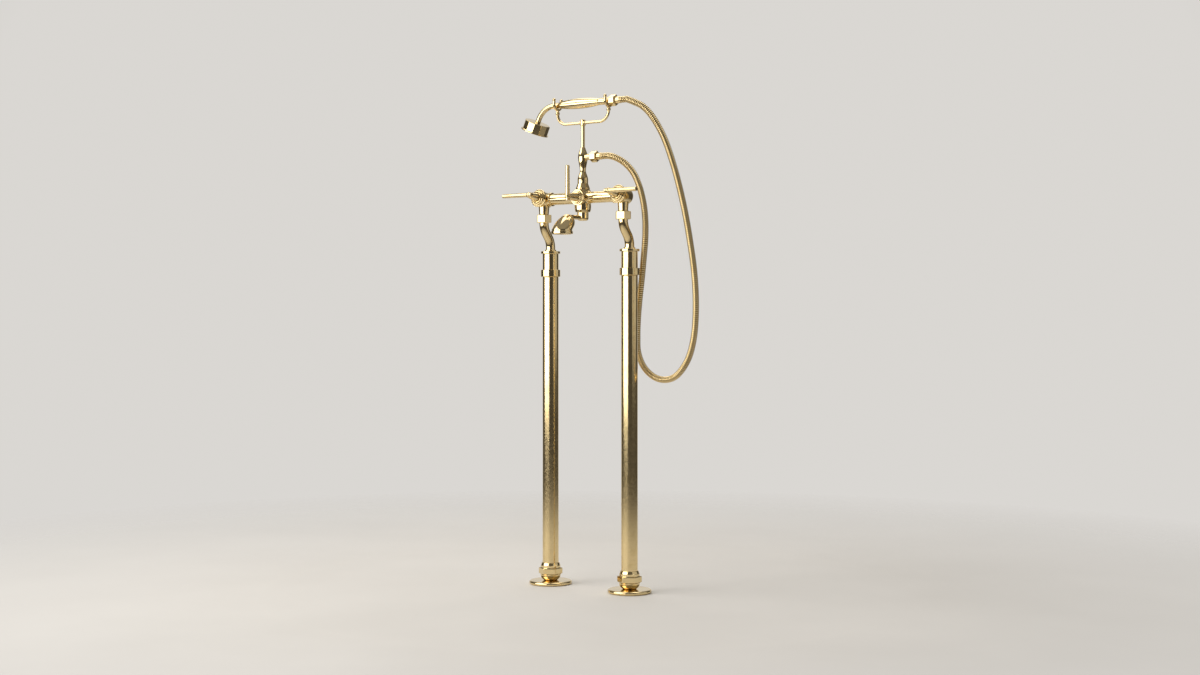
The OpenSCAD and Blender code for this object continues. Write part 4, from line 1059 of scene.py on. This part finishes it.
@dataclass
class RiserAndCradle:
    """Riser with its hose outlet, cradle rod and the cradle with two forks."""

    shop: Workshop
    skirt_r: float = 13.0
    skirt_h: float = 2.0
    neck_r: float = 9.85
    neck_h: tuple[float, float] = (10.5, 17.0)
    stem: tuple[tuple[float, float], ...] = (
        (9.85, 18.0), (9.3, 21.5), (7.9, 26.0), (6.2, 30.5), (5.6, 34.0), (5.9, 38.5), (6.9, 44.0),
        (8.1, 50.0), (8.9, 56.0), (9.0, 60.0), (8.2, 65.0), (6.3, 70.5), (4.9, 74.5), (4.3, RISER_H),
    )
    outlet_r: float = 5.5
    outlet_l: float = 19.5
    outlet_bevel: float = 0.6
    thread_r: float = 7.9
    thread_l: float = 8.0
    rod_r: float = 3.75
    pin_r: float = 2.4
    pin_l: float = 8.0
    tee_r: float = 4.75
    tee_half: float = 6.0
    sleeve_r: float = 3.75
    wire_r: float = 2.75
    fork_x: float = 58.0
    corner_r: float = 20.0
    upright_gap: float = 7.5
    fork_r: float = 11.0
    rest_gap: float = 0.3
    held_r: tuple[float, float] = (5.0, 6.35)
    prong_l: float = 6.5
    ball_r: float = 3.25
    knob_r: float = 4.0
    knob_h: float = 1.0

    def build(self) -> None:
        """Makes the riser, the rod and the cradle."""
        self.riser()
        self.rod()
        self.cradle()

    def riser(self) -> None:
        """Skirt, stem, olive shaped bulb and cone as one smooth profile, with the outlet to the cold side."""
        skirt = rounded([
            (0, 0), (self.skirt_r, 0), (self.skirt_r, self.skirt_h), *((self.neck_r, h) for h in self.neck_h)
        ], radius=0.6)
        profile = np.concatenate([skirt[:-1], smooth_line(np.array(self.stem), 5), [[0, RISER_H]]])
        end = self.outlet_l + self.thread_l
        outlet = rounded([
            (0, 0), (self.outlet_r, 0), (self.outlet_r, self.outlet_l - self.outlet_bevel),
            (self.thread_r, self.outlet_l), (self.thread_r, end), (0, end)
        ], radius=0.4)
        shells = [
            Lathe((0, BODY_Y, RISER_Z)).shell(profile),
            Lathe((0, BODY_Y, BULB_Z), Axis.RIGHT.value, columns=64).shell(outlet),
        ]
        self.shop.piece("riser_turned", Shell.join(shells), self.shop.finishes.buffed, ["riser"])

    def rod(self) -> None:
        """Plain rod from the riser to the cradle, with a thin pin at both ends."""
        top = ROD_H - self.tee_half
        outline = rounded([
            (0, -self.pin_l), (self.pin_r, -self.pin_l), (self.pin_r, 0), (self.rod_r, 0), (self.rod_r, top),
            (self.pin_r, top), (self.pin_r, ROD_H), (0, ROD_H)
        ], radius=0.3)
        lathe = Lathe((0, BODY_Y, RISER_Z + RISER_H), columns=64)
        self.shop.piece("cradle_rod_turned", lathe.shell(outline), self.shop.finishes.buffed, ["cradle_rod"])

    def cradle(self) -> None:
        """Crossbar bent up at both ends, a tee in the middle and a fork with ball ends on each upright."""
        r = self.corner_r
        span, top = self.fork_x - r, CROSS_Z + r
        left, right = (arc((s * span, BODY_Y, top), (0, 0, -r), (s * r, 0, 0), (0, 90)) for s in (-1, 1))
        feet = [[[s * self.fork_x, BODY_Y, HANDSET_Z - self.upright_gap]] for s in (-1, 1)]
        bar = swept(np.concatenate([feet[0], left[::-1], right, feet[1]]), self.wire_r, (0, 1, 0), 40)
        middle, half = (0, BODY_Y, CROSS_Z), self.tee_half
        shells = [
            bar, Lathe(middle).shell(bar_profile(self.tee_r, -half, half, 1.2)),
            Lathe(middle, Axis.RIGHT.value).shell(bar_profile(self.sleeve_r, -half, half, 1.0)),
        ]
        for sign, held_r in zip((-1, 1), self.held_r):
            rest_z = HANDSET_Z - held_r - self.rest_gap
            shells += self.fork(sign * self.fork_x, rest_z - self.wire_r + self.fork_r)
            shells.append(ball((sign * self.fork_x, BODY_Y, top + self.knob_h), self.knob_r))
        self.shop.piece("cradle_bent", Shell.join(shells), self.shop.finishes.buffed, ["cradle_fork"])

    def fork(self, x: float, middle_z: float) -> list[Shell]:
        """One fork: a half ring below the handset, two short prongs and a ball on each.

        Args:
            x: Place of the fork along the handset.
            middle_z: Height of the half ring's middle.

        Returns:
            The fork's surfaces.
        """
        top = middle_z + self.prong_l
        ring = arc((x, BODY_Y, middle_z), (0, self.fork_r, 0), (0, 0, self.fork_r), (180, 360), 32)
        ends = [(x, BODY_Y + s * self.fork_r, top) for s in (-1, 1)]
        bar = swept(np.concatenate([ends[:1], ring, ends[1:]]), self.wire_r, (1, 0, 0), 40)
        return [bar] + [ball(end, self.ball_r) for end in ends]


@dataclass
class Handset:
    """Hand shower: bent neck, swelling grip, tail and a twelve sided head."""

    shop: Workshop
    neck_x: float = -66.0
    neck_r: float = 5.0
    bend_r: float = 40.0
    grip: tuple[float, float] = (-52.5, 38.0)
    grip_r: float = 9.75
    grip_end_r: float = 6.0
    grip_edge: tuple[float, float] = (0.3, 0.4)
    tail_r: float = 6.35
    tail_end: float = 61.55
    thread_r: float = 7.9
    thread_end: float = 69.5
    head_tilt: float = 24.0
    head_drop: float = 5.0
    head_r: float = 24.5
    head_sides: int = 12
    head_turn: float = 17.0
    head_h: float = 19.5
    lip_r: float = 26.5
    lip_t: float = 2.0
    wall: float = 2.5

    def build(self) -> None:
        """Makes the neck, grip, tail and head, which all move with the handset."""
        self.neck()
        self.handle()
        self.head()

    def add(self, name: str, shell: Shell, node: str) -> None:
        """Puts one surface on the handset in buffed brass."""
        self.shop.piece(name, shell, self.shop.finishes.buffed, [node], "handset")

    def head_lathe(self, **settings: float) -> Lathe:
        """Lathe whose axis leaves the neck's bend and points through the head.

        Args:
            **settings: Other settings of the lathe.

        Returns:
            The lathe.
        """
        a = np.radians(180 - self.head_tilt)
        x, z = self.neck_x + self.bend_r * np.cos(a), HANDSET_Z - self.bend_r + self.bend_r * np.sin(a)
        return Lathe((x, BODY_Y, z), (-np.sin(a), 0.0, np.cos(a)), **settings)

    def neck(self) -> None:
        """Tube from inside the grip through the bend into the head."""
        lathe = self.head_lathe()
        bend = arc((self.neck_x, BODY_Y, HANDSET_Z - self.bend_r), (self.bend_r, 0, 0), (0, 0, self.bend_r),
                   (90, 180 - self.head_tilt), 32)
        first = [[self.grip[0] + 1, BODY_Y, HANDSET_Z]]
        last = np.asarray(lathe.base) + (self.head_drop + 1) * np.asarray(lathe.axis)
        self.add("handset_neck_bent", swept(np.concatenate([first, bend, [last]]), self.neck_r, (0, 1, 0)),
                 "handset_neck")

    def handle(self) -> None:
        """Grip whose side is one arc that swells to its middle, and the tail that the hose screws onto."""
        first, last = self.grip
        inset, edge = self.grip_edge
        lathe = Lathe((0, BODY_Y, HANDSET_Z), Axis.RIGHT.value)
        length, bulge, end_r = last - first, self.grip_r - self.grip_end_r, self.grip_end_r - inset
        bow = (length**2 / 4 + bulge**2) / (2 * bulge)
        h = np.linspace(first + edge, last - edge, 40)
        swell = self.grip_r - bow + np.sqrt(bow**2 - (h - (first + last) / 2) ** 2)
        ends = [[0, first], [end_r, first]], [[end_r, last], [0, last]]
        grip = np.concatenate([ends[0], np.stack([swell, h], axis=1), ends[1]])
        self.add("handset_grip_turned", lathe.shell(grip), "handset_grip")
        tail = rounded([
            (0, last), (self.tail_r, last), (self.tail_r, self.tail_end), (self.thread_r, self.tail_end),
            (self.thread_r, self.thread_end), (0, self.thread_end)
        ], radius=0.5)
        self.add("handset_tail_turned", lathe.shell(tail), "handset_tail")

    def head(self) -> None:
        """Twelve sided cup with softened corners, closed above, with a thin round lip below."""
        flat = self.head_r * math.cos(math.pi / self.head_sides)
        low, high = self.head_drop, self.head_drop + self.head_h
        room_r, ceiling, lip = flat - self.wall, low + self.wall, high - self.lip_t
        outline = rounded([
            (0, low, 0), (flat - 1, low, 1), (flat, low + 1, 1), (flat, lip - 0.4, 1), (flat + 0.2, lip, 0.5),
            (self.lip_r, lip, 0), (self.lip_r, high, 0), (room_r, high, 0), (room_r, ceiling, 0),
            (0, ceiling, 0)
        ], radius=0.5)
        lathe = self.head_lathe(sides=self.head_sides, turn=self.head_turn, columns=240, sharpness=260.0)
        self.add("shower_head_milled", lathe.shell(outline), "shower_head")


@dataclass
class HoseLine:
    """The ribbed hose with its hexagonal nuts and smooth ferrules."""

    shop: Workshop
    outer_r: float = 6.0
    rib_h: float = 1.1
    rib_pitch: float = 3.6
    rows_per_rib: int = 8
    columns: int = 24
    ease_rows: int = 7
    lead: float = 14.0
    lead_shares: tuple[float, ...] = (0.0, 0.45, 0.86, 1.0)
    riser_x: float = 20.5
    handset_x: float = 62.55
    nut_flat: float = 9.25
    nut_l: float = 12.5
    nut_bore_r: float = 8.1
    nut_floor: float = 2.5
    barb_r: float = 5.0
    flare_r: float = 8.0
    flare: tuple[float, float] = (8.5, 10.0)
    ferrule_r: float = 6.4
    ferrule_bore_r: float = 3.5
    ferrule_l: float = 9.0
    loop: tuple[tuple[float, float, float], ...] = (
        (-17, -22, -4), (3, -20, -15), (20, -16, -34), (30, -11, -60), (34, -4, -91), (32, 4, -122),
        (26, 12, -153), (18, 19, -185), (10, 25, -220), (3, 28, -257), (-2, 30, -293), (-4, 31, -326),
        (-3, 32, -356), (9, 32, -382), (30, 31, -399), (54, 28, -405), (78, 25, -401), (99, 20, -387),
        (117, 16, -364), (130, 11, -333), (137, 7, -297), (140, 3, -255), (139, -1, -210), (134, -5, -163),
        (127, -9, -115), (117, -12, -68), (105, -16, -22), (91, -19, 18), (76, -21, 47), (60, -22, 69),
        (43, -22, 84), (24, -22, 93),
    )

    def build(self) -> None:
        """Makes the hose first, then its ends."""
        self.hose()
        self.ends("riser", self.riser_x, BULB_Z, "stand")
        self.ends("handset", self.handset_x, HANDSET_Z, "handset")

    def route(self) -> Array:
        """The same smooth curve as the CAD hose: two straight leads and the loop, given from leg and outlet.

        Returns:
            Points of the middle line, one row each.
        """
        reach = self.nut_l + self.ferrule_l
        start = np.array([self.riser_x + reach, BODY_Y, BULB_Z])
        end = np.array([self.handset_x + reach, BODY_Y, HANDSET_Z])
        lead = self.lead * np.asarray(self.lead_shares)[:, None] * np.asarray(Axis.RIGHT.value)
        loop = np.asarray(self.loop, float) + np.array([LEG_X, 0, BULB_Z])
        return smooth_line(np.concatenate([start + lead, loop, end + lead[::-1]]), 8)

    def eased(self, path: Array) -> Array:
        """Path with each point but the outermost ones moved to a bell shaped mean of its neighbours.

        Args:
            path: Points at even distances.

        Returns:
            The smoother path, with as many points.
        """
        n = self.ease_rows
        weights = np.hanning(2 * n + 1) / np.hanning(2 * n + 1).sum()
        inner = np.stack([np.convolve(column, weights, mode="valid") for column in path.T], axis=1)
        return np.concatenate([path[:n], inner, path[-n:]])

    def hose(self) -> None:
        """Hose whose ribs climb round it as one screw line.

        At the distance s and angle a the radius is the outer radius less the rib height times a groove, which
        is 1 less the size of a sine of half the phase s / pitch - a / 360 degrees, so that each rib is round.
        The grooves fade out at both ends.
        """
        line = self.route()
        run = run_of(line)
        length = run[-1]
        s = np.linspace(0, length, int(length / self.rib_pitch * self.rows_per_rib))
        path = self.eased(np.stack([np.interp(s, run, column) for column in line.T], axis=1))
        u, v = across(unit(np.gradient(path, axis=0)), (0, 1, 0))
        a = 2 * np.pi * np.arange(self.columns) / self.columns
        groove = 1 - np.abs(np.sin(np.pi * (s[:, None] / self.rib_pitch - a / (2 * np.pi))))
        groove *= np.clip(np.minimum(s, length - s) / self.rib_pitch, 0, 1)[:, None]
        spokes = np.cos(a)[:, None] * u[:, None] + np.sin(a)[:, None] * v[:, None]
        grid = path[:, None] + (self.outer_r - self.rib_h * groove)[..., None] * spokes
        shell = Shell.capped(grid, s)
        piece = self.shop.piece("hose_ribbed", shell, self.shop.finishes.ribbed, ["hose"], None)
        # The groove depth is kept on the points, and the ribbed finish paints shade into the grooves by it
        depth = piece.data.attributes.new("groove", "FLOAT", "POINT")
        depth.data.foreach_set("value", np.append(groove.ravel(), [0, 0]).astype(np.float32))
        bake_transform(piece)
        LOG.info("hose: %.1f mm long", length)

    def ends(self, word: str, x: float, z: float, body: str) -> None:
        """Nut and ferrule at one end of the hose.

        Args:
            word: Name of the end, as the nodes spell it.
            x: Where the nut starts.
            z: Height of the axis.
            body: Body that the end moves with.
        """
        lathe = Lathe((x, BODY_Y, z), Axis.RIGHT.value, columns=120, turn=90.0)
        flat, length, bore_r, hole_r = self.nut_flat, self.nut_l, self.nut_bore_r, self.barb_r + SLIDE_GAP
        floor = length - self.nut_floor
        nut = rounded([
            (bore_r, 0, 0), (flat - 0.35, 0, 0), *milled_flats(flat, 0, length, 0.05, (0.9, 1.3)),
            (flat - 0.75, length, 0), (hole_r, length, 0), (hole_r, floor, 0), (bore_r, floor, 0)
        ], radius=0.3, closed=True)
        self.shop.piece(f"{word}_hose_nut_milled", lathe.shell(nut, ring=True), self.shop.finishes.buffed,
                        [f"{word}_hose_nut"], body)
        back, front = self.flare
        end = length + self.ferrule_l
        ferrule = rounded([
            (self.ferrule_bore_r, back), (self.flare_r, back), (self.flare_r, front), (self.barb_r, front),
            (self.barb_r, length), (self.ferrule_r, length), (self.ferrule_r, end), (self.ferrule_bore_r, end)
        ], radius=0.6, closed=True)
        self.shop.piece(f"{word}_ferrule_turned", lathe.shell(ferrule, ring=True), self.shop.finishes.buffed,
                        [f"{word}_ferrule"], body)


@dataclass
class SoftBox:
    """One soft rectangular lamp that faces a point on the object."""

    name: str
    place: tuple[float, float, float]
    aim: tuple[float, float, float]
    size: tuple[float, float]
    power: float
    colour: tuple[float, float, float] = (1.0, 0.97, 0.92)

    def build(self) -> None:
        """Puts the lamp in the scene."""
        lamp = bpy.data.lights.new(self.name, "AREA")
        lamp.shape, lamp.size, lamp.size_y = "RECTANGLE", *self.size
        lamp.energy, lamp.color = self.power, self.colour
        holder = bpy.data.objects.new(self.name, lamp)
        place = np.asarray(self.place)
        holder.location = self.place
        holder.visible_camera = False
        gaze = Vector(np.asarray(self.aim) - place)
        holder.rotation_euler = gaze.to_track_quat("-Z", "Y").to_euler()
        bpy.context.scene.collection.objects.link(holder)
        LOG.info("%s: %.0f W", self.name, self.power)


@dataclass
class Studio:
    """Camera, floor, lamps and surroundings."""

    eye: tuple[float, float, float] = (1.8168, -2.4674, 0.489)
    heading: float = 36.0
    lens: float = 50.0
    shift_y: float = -0.0129
    floor_r: float = 7.0
    pale: tuple[float, float, float] = (0.70, 0.68, 0.65)
    dim: tuple[float, float, float] = (0.07, 0.065, 0.06)
    overhead: float = 0.35

    def camera(self) -> None:
        """Level camera at the photograph's angle."""
        data = bpy.data.cameras.new("photo_camera")
        data.lens, data.sensor_width, data.shift_y = self.lens, 36.0, self.shift_y
        holder = bpy.data.objects.new("photo_camera", data)
        holder.location = self.eye
        holder.rotation_euler = (math.radians(90), 0.0, math.radians(self.heading))
        bpy.context.scene.collection.objects.link(holder)
        bpy.context.scene.camera = holder

    def floor(self) -> None:
        """Pale plaster floor: rings of points whose radius grows towards the rim, clear at the rim."""
        a = 2 * np.pi * np.arange(96) / 96
        r = self.floor_r * np.linspace(0, 1, 24)[1:] ** 2
        rings = np.stack([np.outer(r, np.cos(a)), np.outer(r, np.sin(a)), np.outer(r, 0 * a)], axis=-1)
        points = np.concatenate([[[0, 0, 0]], rings.reshape(-1, 3)])
        index = 1 + np.arange(len(r) * len(a)).reshape(len(r), len(a))
        beside = np.roll(index, -1, axis=1)
        quads = np.stack([index[:-1], index[1:], beside[1:], beside[:-1]], axis=-1).reshape(-1, 4)
        fan = np.stack([np.zeros(len(a), int), index[0], beside[0]], axis=-1)
        mesh = bpy.data.meshes.new("studio_floor")
        mesh.from_pydata(points.tolist(), [], quads.tolist() + fan.tolist())
        mesh.materials.append(self.plaster())
        holder = bpy.data.objects.new("studio_floor", mesh)
        bpy.context.scene.collection.objects.link(holder)

    def plaster(self) -> bpy.types.Material:
        """Matt plaster that turns clear with the distance from the object, so that no edge shows.

        Returns:
            The material.
        """
        material = bpy.data.materials.new("floor_plaster")
        material.use_nodes = True
        sketch = NodeSketch(material.node_tree)
        place = sketch.add("ShaderNodeTexCoord").outputs["Object"]
        far = sketch.add("ShaderNodeVectorMath", {0: place}, operation="LENGTH").outputs["Value"]
        cloud = sketch.add("ShaderNodeTexNoise", {"Vector": place, "Scale": 2.5, "Detail": 5.0})
        tone = sketch.ramp(cloud.outputs["Fac"], [(0.3, (0.77, 0.75, 0.72)), (0.7, (0.82, 0.80, 0.77))])
        matt = sketch.add("ShaderNodeBsdfPrincipled", {"Base Color": tone, "Roughness": 0.75})
        clear = sketch.add("ShaderNodeBsdfTransparent")
        mix = sketch.add("ShaderNodeMixShader", {
            0: sketch.range(far, 0.6, 1.8, 0.0, 1.0), 1: matt.outputs["BSDF"], 2: clear.outputs["BSDF"]})
        sketch.add("ShaderNodeOutputMaterial", {"Surface": mix.outputs["Shader"]})
        return material

    def surroundings(self) -> None:
        """World that is pale behind the object, lighter overhead and dim towards the rest of the room."""
        world = bpy.data.worlds.new("studio_room")
        bpy.context.scene.world = world
        world.use_nodes = True
        sketch = NodeSketch(world.node_tree)
        ray = sketch.add("ShaderNodeTexCoord").outputs["Generated"]
        a = math.radians(self.heading)
        ahead = sketch.add("ShaderNodeVectorMath", {0: ray, 1: (-math.sin(a), math.cos(a), 0.0)},
                           operation="DOT_PRODUCT").outputs["Value"]
        up = sketch.add("ShaderNodeSeparateXYZ", {"Vector": ray}).outputs["Z"]
        glow = sketch.add("ShaderNodeMath", {
            0: sketch.range(ahead, 0.72, 0.93, 0.0, 1.0), 1: sketch.range(up, 0.25, 0.8, 0.0, self.overhead)},
            operation="MAXIMUM").outputs["Value"]
        tone = sketch.ramp(glow, [(0.0, self.dim), (1.0, self.pale)])
        back = sketch.add("ShaderNodeBackground", {"Color": tone, "Strength": 1.0})
        sketch.add("ShaderNodeOutputWorld", {"Surface": back.outputs["Background"]})

    def build(self) -> None:
        """Makes everything round the object."""
        self.camera()
        self.floor()
        self.surroundings()
        for box in (
            SoftBox("key_lamp", (-0.9, -2.45, 0.75), (0.0, 0.0, 0.7), (3.6, 1.1), 45.0),
            SoftBox("side_lamp", (2.5, 0.7, 1.1), (0.0, 0.0, 0.7), (3.4, 1.5), 7.5),
            SoftBox("upper_lamp", (-1.5, -1.5, 2.5), (0.0, 0.0, 0.7), (2.2, 1.5), 34.0),
            SoftBox("top_lamp", (-0.5, 0.9, 2.8), (-0.2, 0.4, 0.0), (2.0, 2.0), 30.0),
        ):
            box.build()
        bpy.context.scene.view_settings.view_transform = "Standard"


def main() -> None:
    """Builds the studio, the hose and then every sub-assembly."""
    logging.basicConfig(level=logging.INFO, format="%(name)s: %(message)s")
    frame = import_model()
    Studio().build()
    shop = Workshop(frame, FinishStore())
    shop.dress_frame()
    HoseLine(shop).build()
    for side in Side:
        Standpipe(shop, side).build()
    MixerBody(shop).build()
    for side in Side:
        Valve(shop, side.name.lower(), side.value * LEG_X, (float(side.value), 0.0, 0.0)).build()
    Valve(shop, "diverter", 0.0, Axis.UP.value, bonnet_r=14.75, step=2.75, lever_l=56.5, tilt=0.0).build()
    BellSpout(shop).build()
    RiserAndCradle(shop).build()
    Handset(shop).build()


if __name__ == "__main__":
    main()
